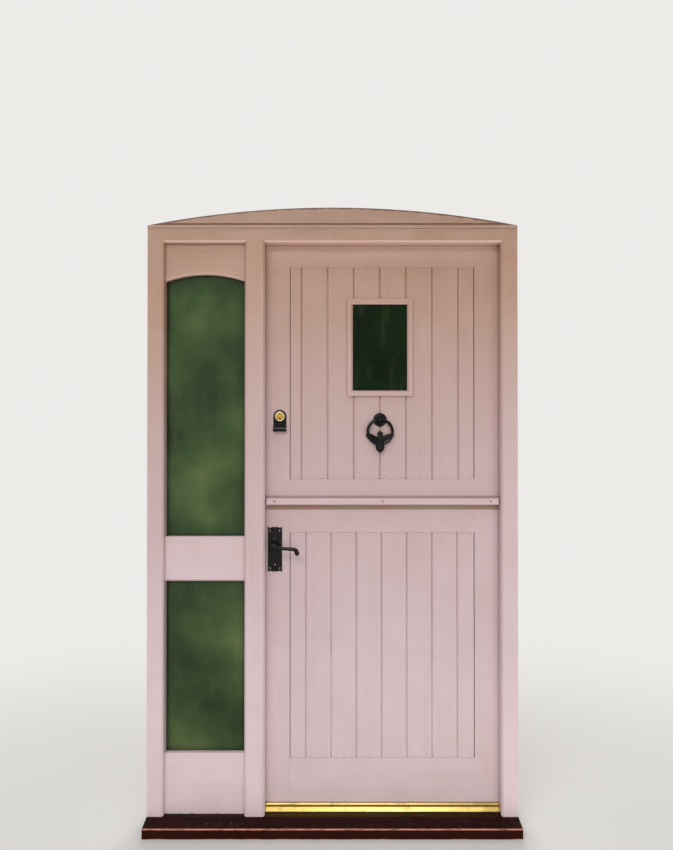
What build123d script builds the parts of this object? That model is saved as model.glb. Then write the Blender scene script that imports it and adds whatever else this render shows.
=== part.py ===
from build123d import *
import math
import os

os.makedirs("parts", exist_ok=True)

# Row frame: millimetres, +Z up. X is 0 at the middle of the frame and grows to the right as seen
# from outside, Y is 0 on the frame's outside face and grows into the building, and Z is 0 under the sill.

# The two leaves, which make one door of a standard size
leaf_width = 838.0
leaf_height = 1981.0
leaf_thickness = 44.0
bottom_leaf_height = 1055.0
meeting_gap = 3.0
leaf_gap = 3.0
seal_gap = 3.0
leaf_to_sill = 16.5
stile_width = 93.0
head_rail_height = 88.0
top_meeting_rail_height = 88.0
bottom_meeting_rail_height = 98.0
base_rail_height = 166.0
shoulder_width = 20.0
tenon_length = 60.0
tenon_thickness = 14.0
tenon_inset = 15.0
wood_fit = 0.2

# Boards that fill both leaves
board_thickness = 20.0
board_setback = 1.0
least_board_width = 30.0
top_board_pitch = 92.4
top_first_board = 41.0
bottom_board_pitch = 89.0
bottom_first_board = 57.0
board_edge_bevel = 3.5
board_gap = 0.4
board_end_gap = 0.5
pin_radius = 1.5
pin_length = 12.0
pin_recess = 0.5
pin_edge = 14.0
pin_side = 19.0
wide_board = 70.0
pin_end = 10.0
pin_fit = 0.05
middle_ledge_height = 100.0
middle_ledge_centre = 560.0
pin_row_spacing = 33.0

# Frame
frame_behind_leaf = 3.0
jamb_width = 57.0
mullion_width = 70.0
head_height = 57.0
sidelight_width = 280.0
stop_depth = 44.0
rebate_overlap = 12.0
chamfer_size = 6.0
sill_height = 42.0
sill_front_height = 33.5
sill_projection = 60.0
sill_nosing = 4.0
drip_setback = 12.0
drip_width = 8.0
drip_depth = 6.0
fixing_hole_radius = 5.0
fixing_hole_lower = 480.0
fixing_hole_spacing = 1120.0
right_fixing_y = 69.0
left_fixing_y = 80.0

# Arched board over the head, and the strip that covers its joint
arch_rise = 60.0
arch_end_height = 5.0
arch_setback = 8.0
arch_thickness = 18.0
arch_end_inset = 8.0
strip_height = 11.5
strip_thickness = 7.0
strip_round = 2.3
strip_overhang = 4.0
strip_lift = 3.0

# Sidelight rails and glass
rail_setback = 20.0
side_base_rail_top = 209.0
side_middle_rail_bottom = 808.0
side_middle_rail_height = 155.0
side_top_rail_height = 132.0
side_arch_rise = 24.5
pane_thickness = 6.0
glass_gap = 0.4
glass_edge_gap = 3.0
bead_depth = 15.0
bead_slope = 6.0

# Window in the top leaf
window_width = 192.0
window_height = 305.0
window_top = 218.0
window_offset = -7.5
window_bead_width = 20.0
window_bead_depth = 8.5
window_bead_bevel = 6.0
window_bead_edge = 2.0
window_glass_cover = 10.0
window_lining_flange = 12.0
window_lining_back = 16.0

# Ledge that sheds rain over the joint of the leaves
ledge_depth = 25.0
ledge_front_height = 22.0
ledge_back_height = 29.0
ledge_end_gap = 3.5
ledge_nose = 5.0
ledge_drip = 3.0
ledge_plug_radius = 4.0
ledge_plug_depth = 3.0
ledge_plug_inset = 28.0

# Threshold bar
bar_toe_depth = 14.0
bar_toe_height = 2.5
bar_flange_height = 15.0
bar_groove_width = 1.5
bar_ridge_radius = 4.5
bar_height = 28.0
bar_base_depth = 44.0
bar_base_height = 3.0
bar_end_gap = 0.5

# Rubber seals
seal_width = 6.0
seal_air = 0.3

# Hinges
hinge_height = 100.0
hinge_end_distance = 175.0
hinge_plate_thickness = 2.5
hinge_plate_depth = 27.0
knuckle_radius = 5.5
knuckle_count = 5
knuckle_clearance = 0.3
knuckle_standoff = 0.5
hinge_pin_radius = 2.5
pin_head_radius = 4.2
pin_head_height = 4.0
shaft_fit = 0.05
screw_head_radius = 4.0
screw_shank_radius = 2.0
screw_length = 16.0
screw_fit = 0.1
hinge_screw_count = 3
hinge_screw_margin = 16.0

# Lever handles, lock and keep
lock_backset = 41.0
spindle_drop = 138.5
plate_width = 50.0
plate_height = 158.0
plate_thickness = 3.0
plate_drop = 18.0
plate_wave = 3.0
plate_dip_place = 0.7
plate_turn_place = 0.45
plate_turn_depth = 0.7
plate_crest_place = 0.22
plate_crest_depth = 0.1
plate_centre_depth = 0.8
plate_screw_x = 17.0
plate_screw_z = 66.0
boss_step_radius = 20.0
boss_step_height = 4.0
boss_radius = 14.0
boss_height = 9.0
neck_radius = 8.5
neck_clearance = 0.3
neck_start = 1.0
lever_projection = 50.0
lever_rod_radius = 5.6
lever_rod_drop = 6.5
lever_elbow_radius = 9.8
lever_reach = 81.0
lever_ball_drop = 3.0
lever_ball_radius = 8.0
lever_bend = 13.0
spindle_side = 8.0
spindle_hole_radius = 12.0
spindle_reach = 30.0
follower_radius = 9.0
keyhole_drop = 60.0
keyhole_radius = 4.0
keyhole_slot_width = 4.0
keyhole_slot_length = 10.0
lock_case_depth = 66.0
lock_case_thickness = 16.0
lock_case_rise = 35.0
lock_case_fall = 86.0
lock_wall = 2.0
forend_width = 22.0
forend_thickness = 3.0
forend_overhang = 18.0
latch_height = 14.0
latch_thickness = 11.0
latch_rise = 20.0
latch_throw = 12.0
latch_length = 40.0
latch_nose = 2.2
dead_bolt_height = 20.0
dead_bolt_drop = 36.0
dead_bolt_throw = 16.0
dead_bolt_length = 42.0
dead_bolt_round = 1.0
bolt_clearance = 0.3
keep_thickness = 2.0
keep_width = 24.0
keep_margin = 20.0
keep_pocket = 18.0

# Night latch with its cylinder and finger pull
night_backset = 58.0
night_rise = 309.0
cylinder_radius = 15.0
cylinder_ring_radius = 17.0
cylinder_ring_height = 3.5
cylinder_ring_bevel = 1.0
cylinder_body_length = 34.0
cylinder_hole_clearance = 1.0
plug_radius = 6.5
plug_drop = 5.5
plug_proud = 1.0
key_slot_width = 1.5
key_slot_foot = 4.5
key_slot_top = 3.0
key_slot_depth = 20.0
tail_width = 6.0
tail_thickness = 2.0
tail_length = 26.0
pull_width = 46.0
pull_thickness = 3.0
pull_cylinder_drop = 23.0
pull_lip_depth = 18.0
pull_lip_height = 13.4
pull_lip_round = 6.0
pull_trough_round = 3.0
pull_height = 77.0
night_case_width = 88.0
night_case_height = 66.0
night_case_depth = 25.0
night_case_wall = 2.5
night_case_inset = 1.0
night_case_round = 2.0
night_bolt_height = 18.0
night_bolt_thickness = 12.0
night_bolt_stand = 4.5
night_bolt_throw = 14.0
night_bolt_length = 40.0
night_bolt_bevel = 8.4
night_keep_width = 26.0
night_keep_gap = 4.0
night_knob_radius = 13.0
night_knob_thickness = 10.0
night_knob_neck = 6.0
night_knob_stand = 8.0
night_knob_bar_reach = 18.2
night_knob_bar_width = 6.0

# Knocker
knocker_drop = 626.0
knocker_boss_radius = 22.5
knocker_boss_rim = 2.5
knocker_pivot_height = 13.0
knocker_pin_radius = 3.5
knocker_ring_radius = 43.4
knocker_rod_radius = 5.0
knocker_ring_drop = 43.5
knocker_shoulder = 28.5
knocker_head_radius = 10.0
knocker_body_radius = 13.0
knocker_belly_radius = 15.5
knocker_head_rise = 5.0
knocker_body_drop = 14.0
knocker_belly_drop = 34.0
knocker_tip_drop = 51.0
knocker_tip_radius = 14.7
knocker_wing = [(0, -15), (20, 1), (38, 5), (50, -1), (42, -14), (24, -26), (0, -34)]
knocker_wing_thickness = 5.0
knocker_flatness = 0.6
knocker_striker_radius = 7.0
knocker_striker_gap = 0.4

# Barrel bolt that joins the leaves, on the inside
barrel_inset = 140.0
barrel_rod_radius = 5.0
barrel_rod_length = 86.0
barrel_rod_stand = 9.0
barrel_travel = 30.0
barrel_case_width = 26.0
barrel_case_depth = 17.0
barrel_case_height = 66.0
barrel_plate_width = 40.0
barrel_plate_thickness = 3.0
barrel_plate_height = 84.0
barrel_knob_radius = 4.0
barrel_knob_length = 17.0
barrel_knob_ball = 5.6
barrel_edge = 8.0
barrel_plate_edge = 1.0
barrel_keep_edge = 4.0
barrel_rod_setback = 4.0
barrel_keep_height = 22.0
barrel_keep_clearance = 0.6

# Places that follow from the sizes
door_opening = leaf_width + 2 * leaf_gap - 2 * rebate_overlap
frame_width = 2 * jamb_width + sidelight_width + mullion_width + door_opening
frame_left = -frame_width / 2
frame_right = frame_width / 2
side_left = frame_left + jamb_width
side_right = side_left + sidelight_width
door_left = side_right + mullion_width
door_right = frame_right - jamb_width
leaf_right = door_right + rebate_overlap - leaf_gap
leaf_left = leaf_right - leaf_width
leaf_middle = (leaf_left + leaf_right) / 2
leaf_front = stop_depth + seal_gap
leaf_back = leaf_front + leaf_thickness
frame_depth = leaf_back + frame_behind_leaf
bottom_leaf_foot = sill_height + leaf_to_sill
bottom_leaf_top = bottom_leaf_foot + bottom_leaf_height
top_leaf_foot = bottom_leaf_top + meeting_gap
top_leaf_top = bottom_leaf_foot + leaf_height
head_rebate = top_leaf_top + leaf_gap
head_stop = head_rebate - rebate_overlap
head_top = head_stop + head_height
panel_left = leaf_left + stile_width
panel_right = leaf_right - stile_width
board_front = leaf_front + board_setback
board_back = board_front + board_thickness
tenon_front = leaf_front + (leaf_thickness - tenon_thickness) / 2
top_panel_foot = top_leaf_foot + top_meeting_rail_height
top_panel_top = top_leaf_top - head_rail_height
bottom_panel_foot = bottom_leaf_foot + base_rail_height
bottom_panel_top = bottom_leaf_top - bottom_meeting_rail_height
window_x = leaf_middle + window_offset
window_z = top_leaf_top - window_top - window_height / 2
hinge_x = leaf_right + leaf_gap / 2
hinge_y = frame_depth + knuckle_radius + knuckle_standoff
spindle_x = leaf_left + lock_backset
spindle_z = bottom_leaf_top - spindle_drop
lock_middle_y = leaf_front + leaf_thickness / 2
night_x = leaf_left + night_backset
night_z = top_leaf_foot + night_rise
knocker_z = top_leaf_top - knocker_drop
knocker_y = board_front - knocker_pivot_height
barrel_x = leaf_left + barrel_inset
barrel_y = leaf_back + barrel_rod_stand

# How far a cutting shape runs past the face that it cuts
past = 1.0


def block(x0, x1, y0, y1, z0, z1):
    """A box from its low corner to its high corner."""
    low = (Align.MIN, Align.MIN, Align.MIN)
    return Pos(x0, y0, z0) * Box(x1 - x0, y1 - y0, z1 - z0, align=low)


def rod(axis, start, end, across, up, radius):
    """A round bar along X, Y or Z. Across and up are its centre on the other two axes, in that order."""
    middle = (start + end) / 2
    if axis == "X":
        return Pos(middle, across, up) * Rot(0, 90, 0) * Cylinder(radius, end - start)
    if axis == "Y":
        return Pos(across, middle, up) * Rot(90, 0, 0) * Cylinder(radius, end - start)
    return Pos(across, up, middle) * Cylinder(radius, end - start)


def spot(axis, along, point):
    """A point of a flat outline, set at a place along its axis."""
    if axis == "X":
        return (along, point[0], point[1])
    if axis == "Y":
        return (point[0], along, point[1])
    return (point[0], point[1], along)


def bar(axis, start, end, points):
    """A straight bar along an axis with a section of straight sides."""
    corners = [spot(axis, start, point) for point in points]
    section = make_face(Polyline(*corners, close=True))
    reach = [end - start if letter == axis else 0 for letter in "XYZ"]
    return extrude(section, amount=abs(end - start), dir=Vector(*reach).normalized())


def light(x0, x1, z0, z1, y, rise=0.0):
    """The flat outline of an opening seen from outside, with a straight or an arched top."""
    foot = Line((x0, y, z0), (x1, y, z0))
    right = Line((x1, y, z0), (x1, y, z1))
    left = Line((x0, y, z1), (x0, y, z0))
    if rise > 0:
        top = ThreePointArc((x1, y, z1), ((x0 + x1) / 2, y, z1 + rise), (x0, y, z1))
    else:
        top = Line((x1, y, z1), (x0, y, z1))
    return make_face([foot, right, top, left])


def bevelled_light(x0, x1, z0, z1, front, back, bevel, rise=0.0):
    """What an opening takes out of its stops: a bevel on the front edge, then a straight reveal."""
    wide = light(x0 - bevel, x1 + bevel, z0 - bevel, z1 + bevel, front, rise)
    narrow = light(x0, x1, z0, z1, front + bevel, rise)
    mouth = loft([wide, narrow], ruled=True)
    reveal = extrude(narrow, amount=back - front - bevel, dir=(0, 1, 0))
    return mouth + reveal


def keyhole(x, z, y0, y1):
    """A keyhole through a plate: a round hole with a slot below it."""
    hole = rod("Y", y0, y1, x, z, keyhole_radius)
    half = keyhole_slot_width / 2
    return hole + block(x - half, x + half, y0, y1, z - keyhole_slot_length, z)


def countersunk(axis, face, inward, across, up, extra=0.0):
    """A countersunk screw along an axis from a face, or with extra size the hole for it."""
    head = screw_head_radius + extra
    shank = screw_shank_radius + extra
    depth = screw_head_radius - screw_shank_radius
    outline = [(0, 0), (head, 0), (shank, depth), (shank, screw_length + extra), (0, screw_length + extra)]
    section = make_face(Polyline(*[(x, 0, z) for x, z in outline], close=True))
    body = revolve(section, Axis.Z)
    if axis == "X":
        return Pos(face, across, up) * Rot(0, 90 * inward, 0) * body
    return Pos(across, face, up) * Rot(-90 * inward, 0, 0) * body


def door_void():
    """The doorway that is taken out of the head, the mullion and the right jamb."""
    void = bevelled_light(door_left, door_right, -past, head_stop, 0, stop_depth, chamfer_size)
    left = door_left - rebate_overlap
    right = door_right + rebate_overlap
    return void + block(left, right, stop_depth, frame_depth + past, -past, head_rebate)


def sidelight_void():
    """The sidelight's place that is taken out of the head, the left jamb and the mullion."""
    void = bevelled_light(side_left, side_right, -past, head_stop, 0, stop_depth, chamfer_size)
    left = side_left - rebate_overlap
    right = side_right + rebate_overlap
    return void + block(left, right, stop_depth, frame_depth + past, -past, head_rebate)


def hinge_middles():
    """Heights of the middles of the four hinges, from the bottom up."""
    bottom = [bottom_leaf_foot + hinge_end_distance, bottom_leaf_top - hinge_end_distance]
    top = [top_leaf_foot + hinge_end_distance, top_leaf_top - hinge_end_distance]
    return bottom + top


def hinge_screw_heights(middle):
    """Heights of the screws in one hinge plate."""
    reach = hinge_height / 2 - hinge_screw_margin
    step = 2 * reach / (hinge_screw_count - 1)
    return [middle - reach + step * index for index in range(hinge_screw_count)]


def hinge_plate_front(back):
    """Where a hinge plate starts, from the face that its knuckles stand behind."""
    return back - hinge_plate_depth


def frame_plate(middle):
    """The fixed plate of one hinge with its knuckles, the first, third and fifth."""
    plate_x = leaf_right + leaf_gap
    low = middle - hinge_height / 2
    front = hinge_plate_front(frame_depth)
    shape = block(plate_x, plate_x + hinge_plate_thickness, front, frame_depth, low, low + hinge_height)
    shape += hinge_knuckles(middle, 0, plate_x, plate_x + hinge_plate_thickness, frame_depth)
    shape -= hinge_bore(middle)
    for z in hinge_screw_heights(middle):
        shape -= countersunk("X", plate_x, 1, front + hinge_plate_depth / 2, z, screw_fit)
    return shape


def leaf_plate(middle):
    """The moving plate of one hinge with its knuckles, the second and fourth."""
    plate_x = leaf_right - hinge_plate_thickness
    low = middle - hinge_height / 2
    front = hinge_plate_front(leaf_back)
    shape = block(plate_x, leaf_right, front, leaf_back, low, low + hinge_height)
    shape += hinge_knuckles(middle, 1, plate_x, leaf_right, leaf_back)
    shape -= hinge_bore(middle)
    for z in hinge_screw_heights(middle):
        shape -= countersunk("X", leaf_right, -1, front + hinge_plate_depth / 2, z, screw_fit)
    return shape


def hinge_knuckles(middle, first, x0, x1, back):
    """Every second knuckle of a hinge, each with the tongue that joins it to its plate."""
    share = hinge_height / knuckle_count
    low = middle - hinge_height / 2
    knuckles = None
    for index in range(first, knuckle_count, 2):
        z0 = low + share * index + knuckle_clearance / 2
        z1 = low + share * (index + 1) - knuckle_clearance / 2
        tongue = block(x0, x1, back, hinge_y, z0, z1)
        knuckle = rod("Z", z0, z1, hinge_x, hinge_y, knuckle_radius) + tongue
        knuckles = knuckle if knuckles is None else knuckles + knuckle
    return knuckles


def hinge_bore(middle):
    """The bore for the hinge pin, through all the knuckles."""
    low = middle - hinge_height / 2 - past
    return rod("Z", low, middle + hinge_height / 2 + past, hinge_x, hinge_y, hinge_pin_radius + shaft_fit)


def hinge_pin(middle):
    """A hinge pin with a head that rests on the top knuckle and one that closes its foot."""
    low = middle - hinge_height / 2
    high = middle + hinge_height / 2
    pin = rod("Z", low, high, hinge_x, hinge_y, hinge_pin_radius)
    pin += rod("Z", high, high + pin_head_height, hinge_x, hinge_y, pin_head_radius)
    return pin + rod("Z", low - pin_head_height, low, hinge_x, hinge_y, pin_head_radius)


def hinge_pocket_in_jamb(middle):
    """What a hinge's fixed plate and its screws take out of the jamb."""
    plate_x = leaf_right + leaf_gap
    low = middle - hinge_height / 2
    front = hinge_plate_front(frame_depth)
    pocket = block(plate_x - past, plate_x + hinge_plate_thickness, front, frame_depth + past,
                   low, low + hinge_height)
    for z in hinge_screw_heights(middle):
        pocket += countersunk("X", plate_x, 1, front + hinge_plate_depth / 2, z, screw_fit)
    return pocket


def hinge_pocket_in_leaf(middle):
    """What a hinge's moving plate and its screws take out of the leaf's edge."""
    low = middle - hinge_height / 2
    front = hinge_plate_front(leaf_back)
    pocket = block(leaf_right - hinge_plate_thickness, leaf_right + past, front, leaf_back + past,
                   low, low + hinge_height)
    for z in hinge_screw_heights(middle):
        pocket += countersunk("X", leaf_right, -1, front + hinge_plate_depth / 2, z, screw_fit)
    return pocket


def latch_box(out, extra=0.0):
    """The space of the latch bolt when it stands out of the leaf's edge by the given length."""
    z = spindle_z + latch_rise
    half = latch_thickness / 2 + extra
    return block(leaf_left - out - extra, leaf_left - out + latch_length + extra,
                 lock_middle_y - half, lock_middle_y + half,
                 z - latch_height / 2 - extra, z + latch_height / 2 + extra)


def dead_bolt_box(out, extra=0.0):
    """The space of the dead bolt when it stands out of the leaf's edge by the given length."""
    z = spindle_z - dead_bolt_drop
    half = latch_thickness / 2 + extra
    return block(leaf_left - out - extra, leaf_left - out + dead_bolt_length + extra,
                 lock_middle_y - half, lock_middle_y + half,
                 z - dead_bolt_height / 2 - extra, z + dead_bolt_height / 2 + extra)


def lock_keep_plate(extra=0.0):
    """The plate in the mullion that the bottom leaf's bolts pass through."""
    face = door_left - rebate_overlap
    half = keep_width / 2 + extra
    low = spindle_z - dead_bolt_drop - dead_bolt_height / 2 - keep_margin - extra
    high = spindle_z + latch_rise + latch_height / 2 + keep_margin + extra
    return block(face - keep_thickness - extra, face + extra,
                 lock_middle_y - half, lock_middle_y + half, low, high)


def lock_keep():
    """The keep plate with a hole for each bolt."""
    shape = lock_keep_plate()
    shape -= latch_box(latch_throw + past, bolt_clearance)
    return shape - dead_bolt_box(dead_bolt_throw + past, bolt_clearance)


def right_jamb():
    """The jamb that carries the hinges."""
    shape = block(door_right, frame_right, 0, frame_depth, sill_height, head_stop)
    shape -= door_void()
    for middle in hinge_middles():
        shape -= hinge_pocket_in_jamb(middle)
    for z in (fixing_hole_lower, fixing_hole_lower + fixing_hole_spacing):
        shape -= rod("X", door_right, frame_right + past, right_fixing_y, z, fixing_hole_radius)
    return shape


def left_jamb():
    """The jamb beside the sidelight."""
    shape = block(frame_left, side_left, 0, frame_depth, sill_height, head_stop)
    shape -= sidelight_void()
    for z in (fixing_hole_lower, fixing_hole_lower + fixing_hole_spacing):
        shape -= rod("X", frame_left - past, side_left, left_fixing_y, z, fixing_hole_radius)
    return shape


def mullion():
    """The post between the sidelight and the door, with the pockets that take the bolts."""
    shape = block(side_right, door_left, 0, frame_depth, sill_height, head_stop)
    shape -= sidelight_void()
    shape -= door_void()
    shape -= lock_keep_plate(wood_fit)
    face = door_left - rebate_overlap
    for bolt in (latch_box(keep_pocket, bolt_clearance), dead_bolt_box(keep_pocket, bolt_clearance)):
        shape -= bolt & block(face - keep_pocket, face + past, 0, frame_depth, sill_height, head_stop)
    return shape


def head():
    """The head, full width over the jambs and the mullion."""
    shape = block(frame_left, frame_right, 0, frame_depth, head_stop, head_top)
    return shape - door_void() - sidelight_void()


def sill():
    """The sill with its weathered front, rounded nosing and drip groove."""
    front = -sill_projection
    outline = [
        (front, 0),
        (front, sill_front_height),
        (0, sill_height),
        (frame_depth, sill_height),
        (frame_depth, 0),
    ]
    shape = bar("X", frame_left, frame_right, outline)
    nose = shape.edges().filter_by(Axis.X).sort_by(Axis.Y)[:2].sort_by(Axis.Z)[-1]
    shape = fillet(nose, sill_nosing)
    groove = front + drip_setback
    return shape - block(frame_left - past, frame_right + past, groove, groove + drip_width, -past, drip_depth)


def arch_board():
    """The board that fills the arch over the head."""
    half = frame_width / 2 - arch_end_inset
    outline = light(-half, half, head_top, head_top + arch_end_height, arch_setback, arch_rise)
    return extrude(outline, amount=arch_thickness, dir=(0, 1, 0))


def cover_strip():
    """The thin strip that covers the joint of head and arched board."""
    top = head_top + strip_lift
    half = frame_width / 2 + strip_overhang
    shape = block(-half, half, -strip_thickness, 0, top - strip_height, top)
    front = shape.edges().filter_by(Axis.X).sort_by(Axis.Y)[:2]
    return fillet(front, strip_round)


def sidelight_levels():
    """Heights of the foot and head of the lower and the upper light."""
    lower = (sill_height + side_base_rail_top, sill_height + side_middle_rail_bottom)
    upper = (lower[1] + side_middle_rail_height, head_stop - side_top_rail_height)
    return lower, upper


def sidelight_rail(foot, top):
    """A rail between the left jamb and the mullion, before its edges are cut."""
    front = block(side_left, side_right, rail_setback, stop_depth, foot, min(top, head_stop))
    left = side_left - rebate_overlap
    right = side_right + rebate_overlap
    return front + block(left, right, stop_depth, frame_depth, foot, min(top, head_rebate))


def pane_void(foot, top, rise=0.0):
    """What a pane's light takes out of the rails above and below it."""
    left = side_left - rebate_overlap - past
    right = side_right + rebate_overlap + past
    bevel = chamfer_size
    wide = light(side_left, side_right, foot - bevel, top + bevel, rail_setback, rise)
    narrow = light(side_left, side_right, foot, top, rail_setback + bevel, rise)
    void = loft([wide, narrow], ruled=True)
    void += extrude(narrow, amount=stop_depth - rail_setback - bevel, dir=(0, 1, 0))
    deep_top = top + rise + rebate_overlap
    return void + block(left, right, stop_depth, frame_depth + past, foot - rebate_overlap, deep_top)


def sidelight_base_rail():
    """The sidelight's rail on the sill."""
    lower, upper = sidelight_levels()
    return sidelight_rail(sill_height, lower[0]) - pane_void(*lower)


def sidelight_middle_rail():
    """The sidelight's rail between the two panes."""
    lower, upper = sidelight_levels()
    shape = sidelight_rail(lower[1], upper[0])
    return shape - pane_void(*lower) - pane_void(upper[0], upper[1], side_arch_rise)


def sidelight_top_rail():
    """The sidelight's rail under the head, arched over the upper pane."""
    lower, upper = sidelight_levels()
    shape = sidelight_rail(upper[1], head_rebate)
    return shape - pane_void(upper[0], upper[1], side_arch_rise)


def pane_limits(foot, top, rise=0.0):
    """The rebate that holds a pane, less the gap round its edge."""
    inset = rebate_overlap - glass_edge_gap
    return (side_left - inset, side_right + inset, foot - inset, top + rise + inset)


def sidelight_pane(foot, top, rise=0.0):
    """A pane of glass in its rebate."""
    x0, x1, z0, z1 = pane_limits(foot, top, rise)
    front = stop_depth + glass_gap
    return block(x0, x1, front, front + pane_thickness, z0, z1)


def bead_frame(foot, top, rise=0.0):
    """Four mitred beads that hold a pane in its rebate, each with a sloping inner face."""
    front = stop_depth + 2 * glass_gap + pane_thickness
    back = front + bead_depth
    x0 = side_left - rebate_overlap
    x1 = side_right + rebate_overlap
    z0 = foot - rebate_overlap
    z1 = top + rise + rebate_overlap
    outer = block(x0, x1, front, back, z0, z1)
    near = light(side_left, side_right, foot, top + rise, front)
    far = light(side_left - bead_slope, side_right + bead_slope,
                foot - bead_slope, top + rise + bead_slope, back)
    ring = outer - loft([near, far], ruled=True)
    middle_x = (x0 + x1) / 2
    cut = rebate_overlap
    pieces = []
    for side in (-1, 1):
        edge = x0 if side < 0 else x1
        corner_a = (edge, z0)
        corner_b = (edge - side * cut, z0 + cut)
        corner_c = (edge - side * cut, z1 - cut)
        corner_d = (edge, z1)
        wedge = bar("Y", front, back, [corner_a, corner_b, corner_c, corner_d])
        pieces.append(ring & wedge)
    for level, side in ((z0, -1), (z1, 1)):
        corner_a = (x0, level)
        corner_b = (x1, level)
        corner_c = (x1 - cut, level - side * cut)
        corner_d = (x0 + cut, level - side * cut)
        wedge = bar("Y", front, back, [corner_a, corner_b, corner_c, corner_d])
        pieces.append(ring & wedge)
    return pieces


def threshold_bar():
    """The bar on the sill with a round ridge, a groove and a sloping front flange."""
    back = stop_depth
    toe = back - bar_toe_depth
    foot = sill_height
    ridge = back - bar_ridge_radius
    flange_top = foot + bar_flange_height
    groove = ridge - bar_ridge_radius + bar_groove_width
    top = foot + bar_height - bar_ridge_radius
    outline = [
        (toe, foot),
        (toe, foot + bar_toe_height),
        (groove - bar_groove_width, flange_top),
        (groove, flange_top),
        (groove, top),
        (back, top),
        (back, foot + bar_base_height),
        (back + bar_base_depth, foot + bar_base_height),
        (back + bar_base_depth, foot),
    ]
    x0 = door_left + bar_end_gap
    x1 = door_right - bar_end_gap
    shape = bar("X", x0, x1, outline)
    return shape + rod("X", x0, x1, ridge, top, bar_ridge_radius)


def seal_strips():
    """Rubber strips in the gap between the stops and the leaves, with a hair of air at the leaf."""
    back = stop_depth + seal_gap - seal_air
    x0 = door_left - seal_width
    x1 = door_right + seal_width
    low = sill_height + bar_height
    left = block(x0, door_left, stop_depth, back, low, head_stop)
    right = block(door_right, x1, stop_depth, back, low, head_stop)
    top = block(x0, x1, stop_depth, back, head_stop, head_stop + seal_width)
    return [left, right, top]


def tenon(x_face, side, foot, top, extra=0.0):
    """The tongue at a rail's end, or with extra size the mortice that takes it."""
    x0, x1 = sorted((x_face, x_face + side * (tenon_length + extra)))
    return block(x0, x1, tenon_front - extra, tenon_front + tenon_thickness + extra,
                 foot + tenon_inset - extra, top - tenon_inset + extra)


def leaf_rail(foot, top, shoulder_foot, shoulder_top):
    """A rail between the stiles with its tenons, and the shoulder behind the boards' ends."""
    shape = block(panel_left, panel_right, leaf_front, leaf_back, foot, top)
    shape += block(panel_left, panel_right, board_back, leaf_back, shoulder_foot, shoulder_top)
    shape += tenon(panel_left, -1, foot, top)
    return shape + tenon(panel_right, 1, foot, top)


def leaf_stile(side, foot, top, panel_foot, panel_top):
    """A stile with the shoulder behind the outer board, and the mortices for both rails."""
    if side < 0:
        shape = block(leaf_left, panel_left, leaf_front, leaf_back, foot, top)
        shoulder_x = (panel_left, panel_left + shoulder_width)
        face = panel_left
    else:
        shape = block(panel_right, leaf_right, leaf_front, leaf_back, foot, top)
        shoulder_x = (panel_right - shoulder_width, panel_right)
        face = panel_right
    low = panel_foot + shoulder_width
    high = panel_top - shoulder_width
    shape += block(shoulder_x[0], shoulder_x[1], board_back, leaf_back, low, high)
    shape -= tenon(face, side, foot, panel_foot, wood_fit)
    return shape - tenon(face, side, panel_top, top, wood_fit)


def board_edges(first, pitch):
    """The joints between the boards of a leaf, from left to right, while one more board still fits."""
    edges = [panel_left]
    joint = panel_left + first
    while panel_right - joint > least_board_width:
        edges.append(joint)
        joint += pitch
    return edges + [panel_right]


def board(x0, x1, foot, top):
    """One board with bevelled edges on its outside face."""
    front = board_front
    left = x0 + board_gap / 2
    right = x1 - board_gap / 2
    bevel = board_edge_bevel
    outline = [
        (left, front + bevel),
        (left + bevel, front),
        (right - bevel, front),
        (right, front + bevel),
        (right, board_back),
        (left, board_back),
    ]
    return bar("Z", foot + board_end_gap, top - board_end_gap, outline)


def board_pin(x, z, extra=0.0):
    """A pin through a board's face, or with extra size its hole."""
    start = board_front + pin_recess if extra == 0 else board_front - past
    end = board_front + pin_recess + pin_length + extra
    return rod("Y", start, end, x, z, pin_radius + extra)


def end_pin_places(edges, foot, top):
    """Three pins at each end of a wide board, and two in a narrow one."""
    places = []
    for x0, x1 in zip(edges[:-1], edges[1:]):
        across = [x0 + pin_edge, x1 - pin_edge]
        if x1 - x0 > wide_board:
            across = [x0 + pin_side, (x0 + x1) / 2, x1 - pin_side]
        for z in (foot + pin_end, top - pin_end):
            places += [(x, z) for x in across]
    return places


def ledge_pin_places(edges):
    """Three zigzag rows of pins where the boards cross the middle ledge."""
    places = []
    middle = bottom_leaf_foot + middle_ledge_centre
    for index, (x0, x1) in enumerate(zip(edges[:-1], edges[1:])):
        turn = 1 if index % 2 else -1
        places.append(((x0 + x1) / 2 - turn * (x1 - x0) / 4, middle + pin_row_spacing))
        places.append(((x0 + x1) / 2, middle))
        places.append(((x0 + x1) / 2 + turn * (x1 - x0) / 4, middle - pin_row_spacing))
    return places


def boards(edges, foot, top, places):
    """All the boards of a leaf with the holes for their pins."""
    made = []
    for x0, x1 in zip(edges[:-1], edges[1:]):
        shape = board(x0, x1, foot, top)
        for x, z in places:
            if x0 < x < x1:
                shape -= board_pin(x, z, pin_fit)
        made.append(shape)
    return made


def window_hole(extra=0.0):
    """The hole in the boards for the top leaf's window."""
    half_x = window_width / 2 + window_glass_cover + extra
    half_z = window_height / 2 + window_glass_cover + extra
    return block(window_x - half_x, window_x + half_x, leaf_front - past, leaf_back + past,
                 window_z - half_z, window_z + half_z)


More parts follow.
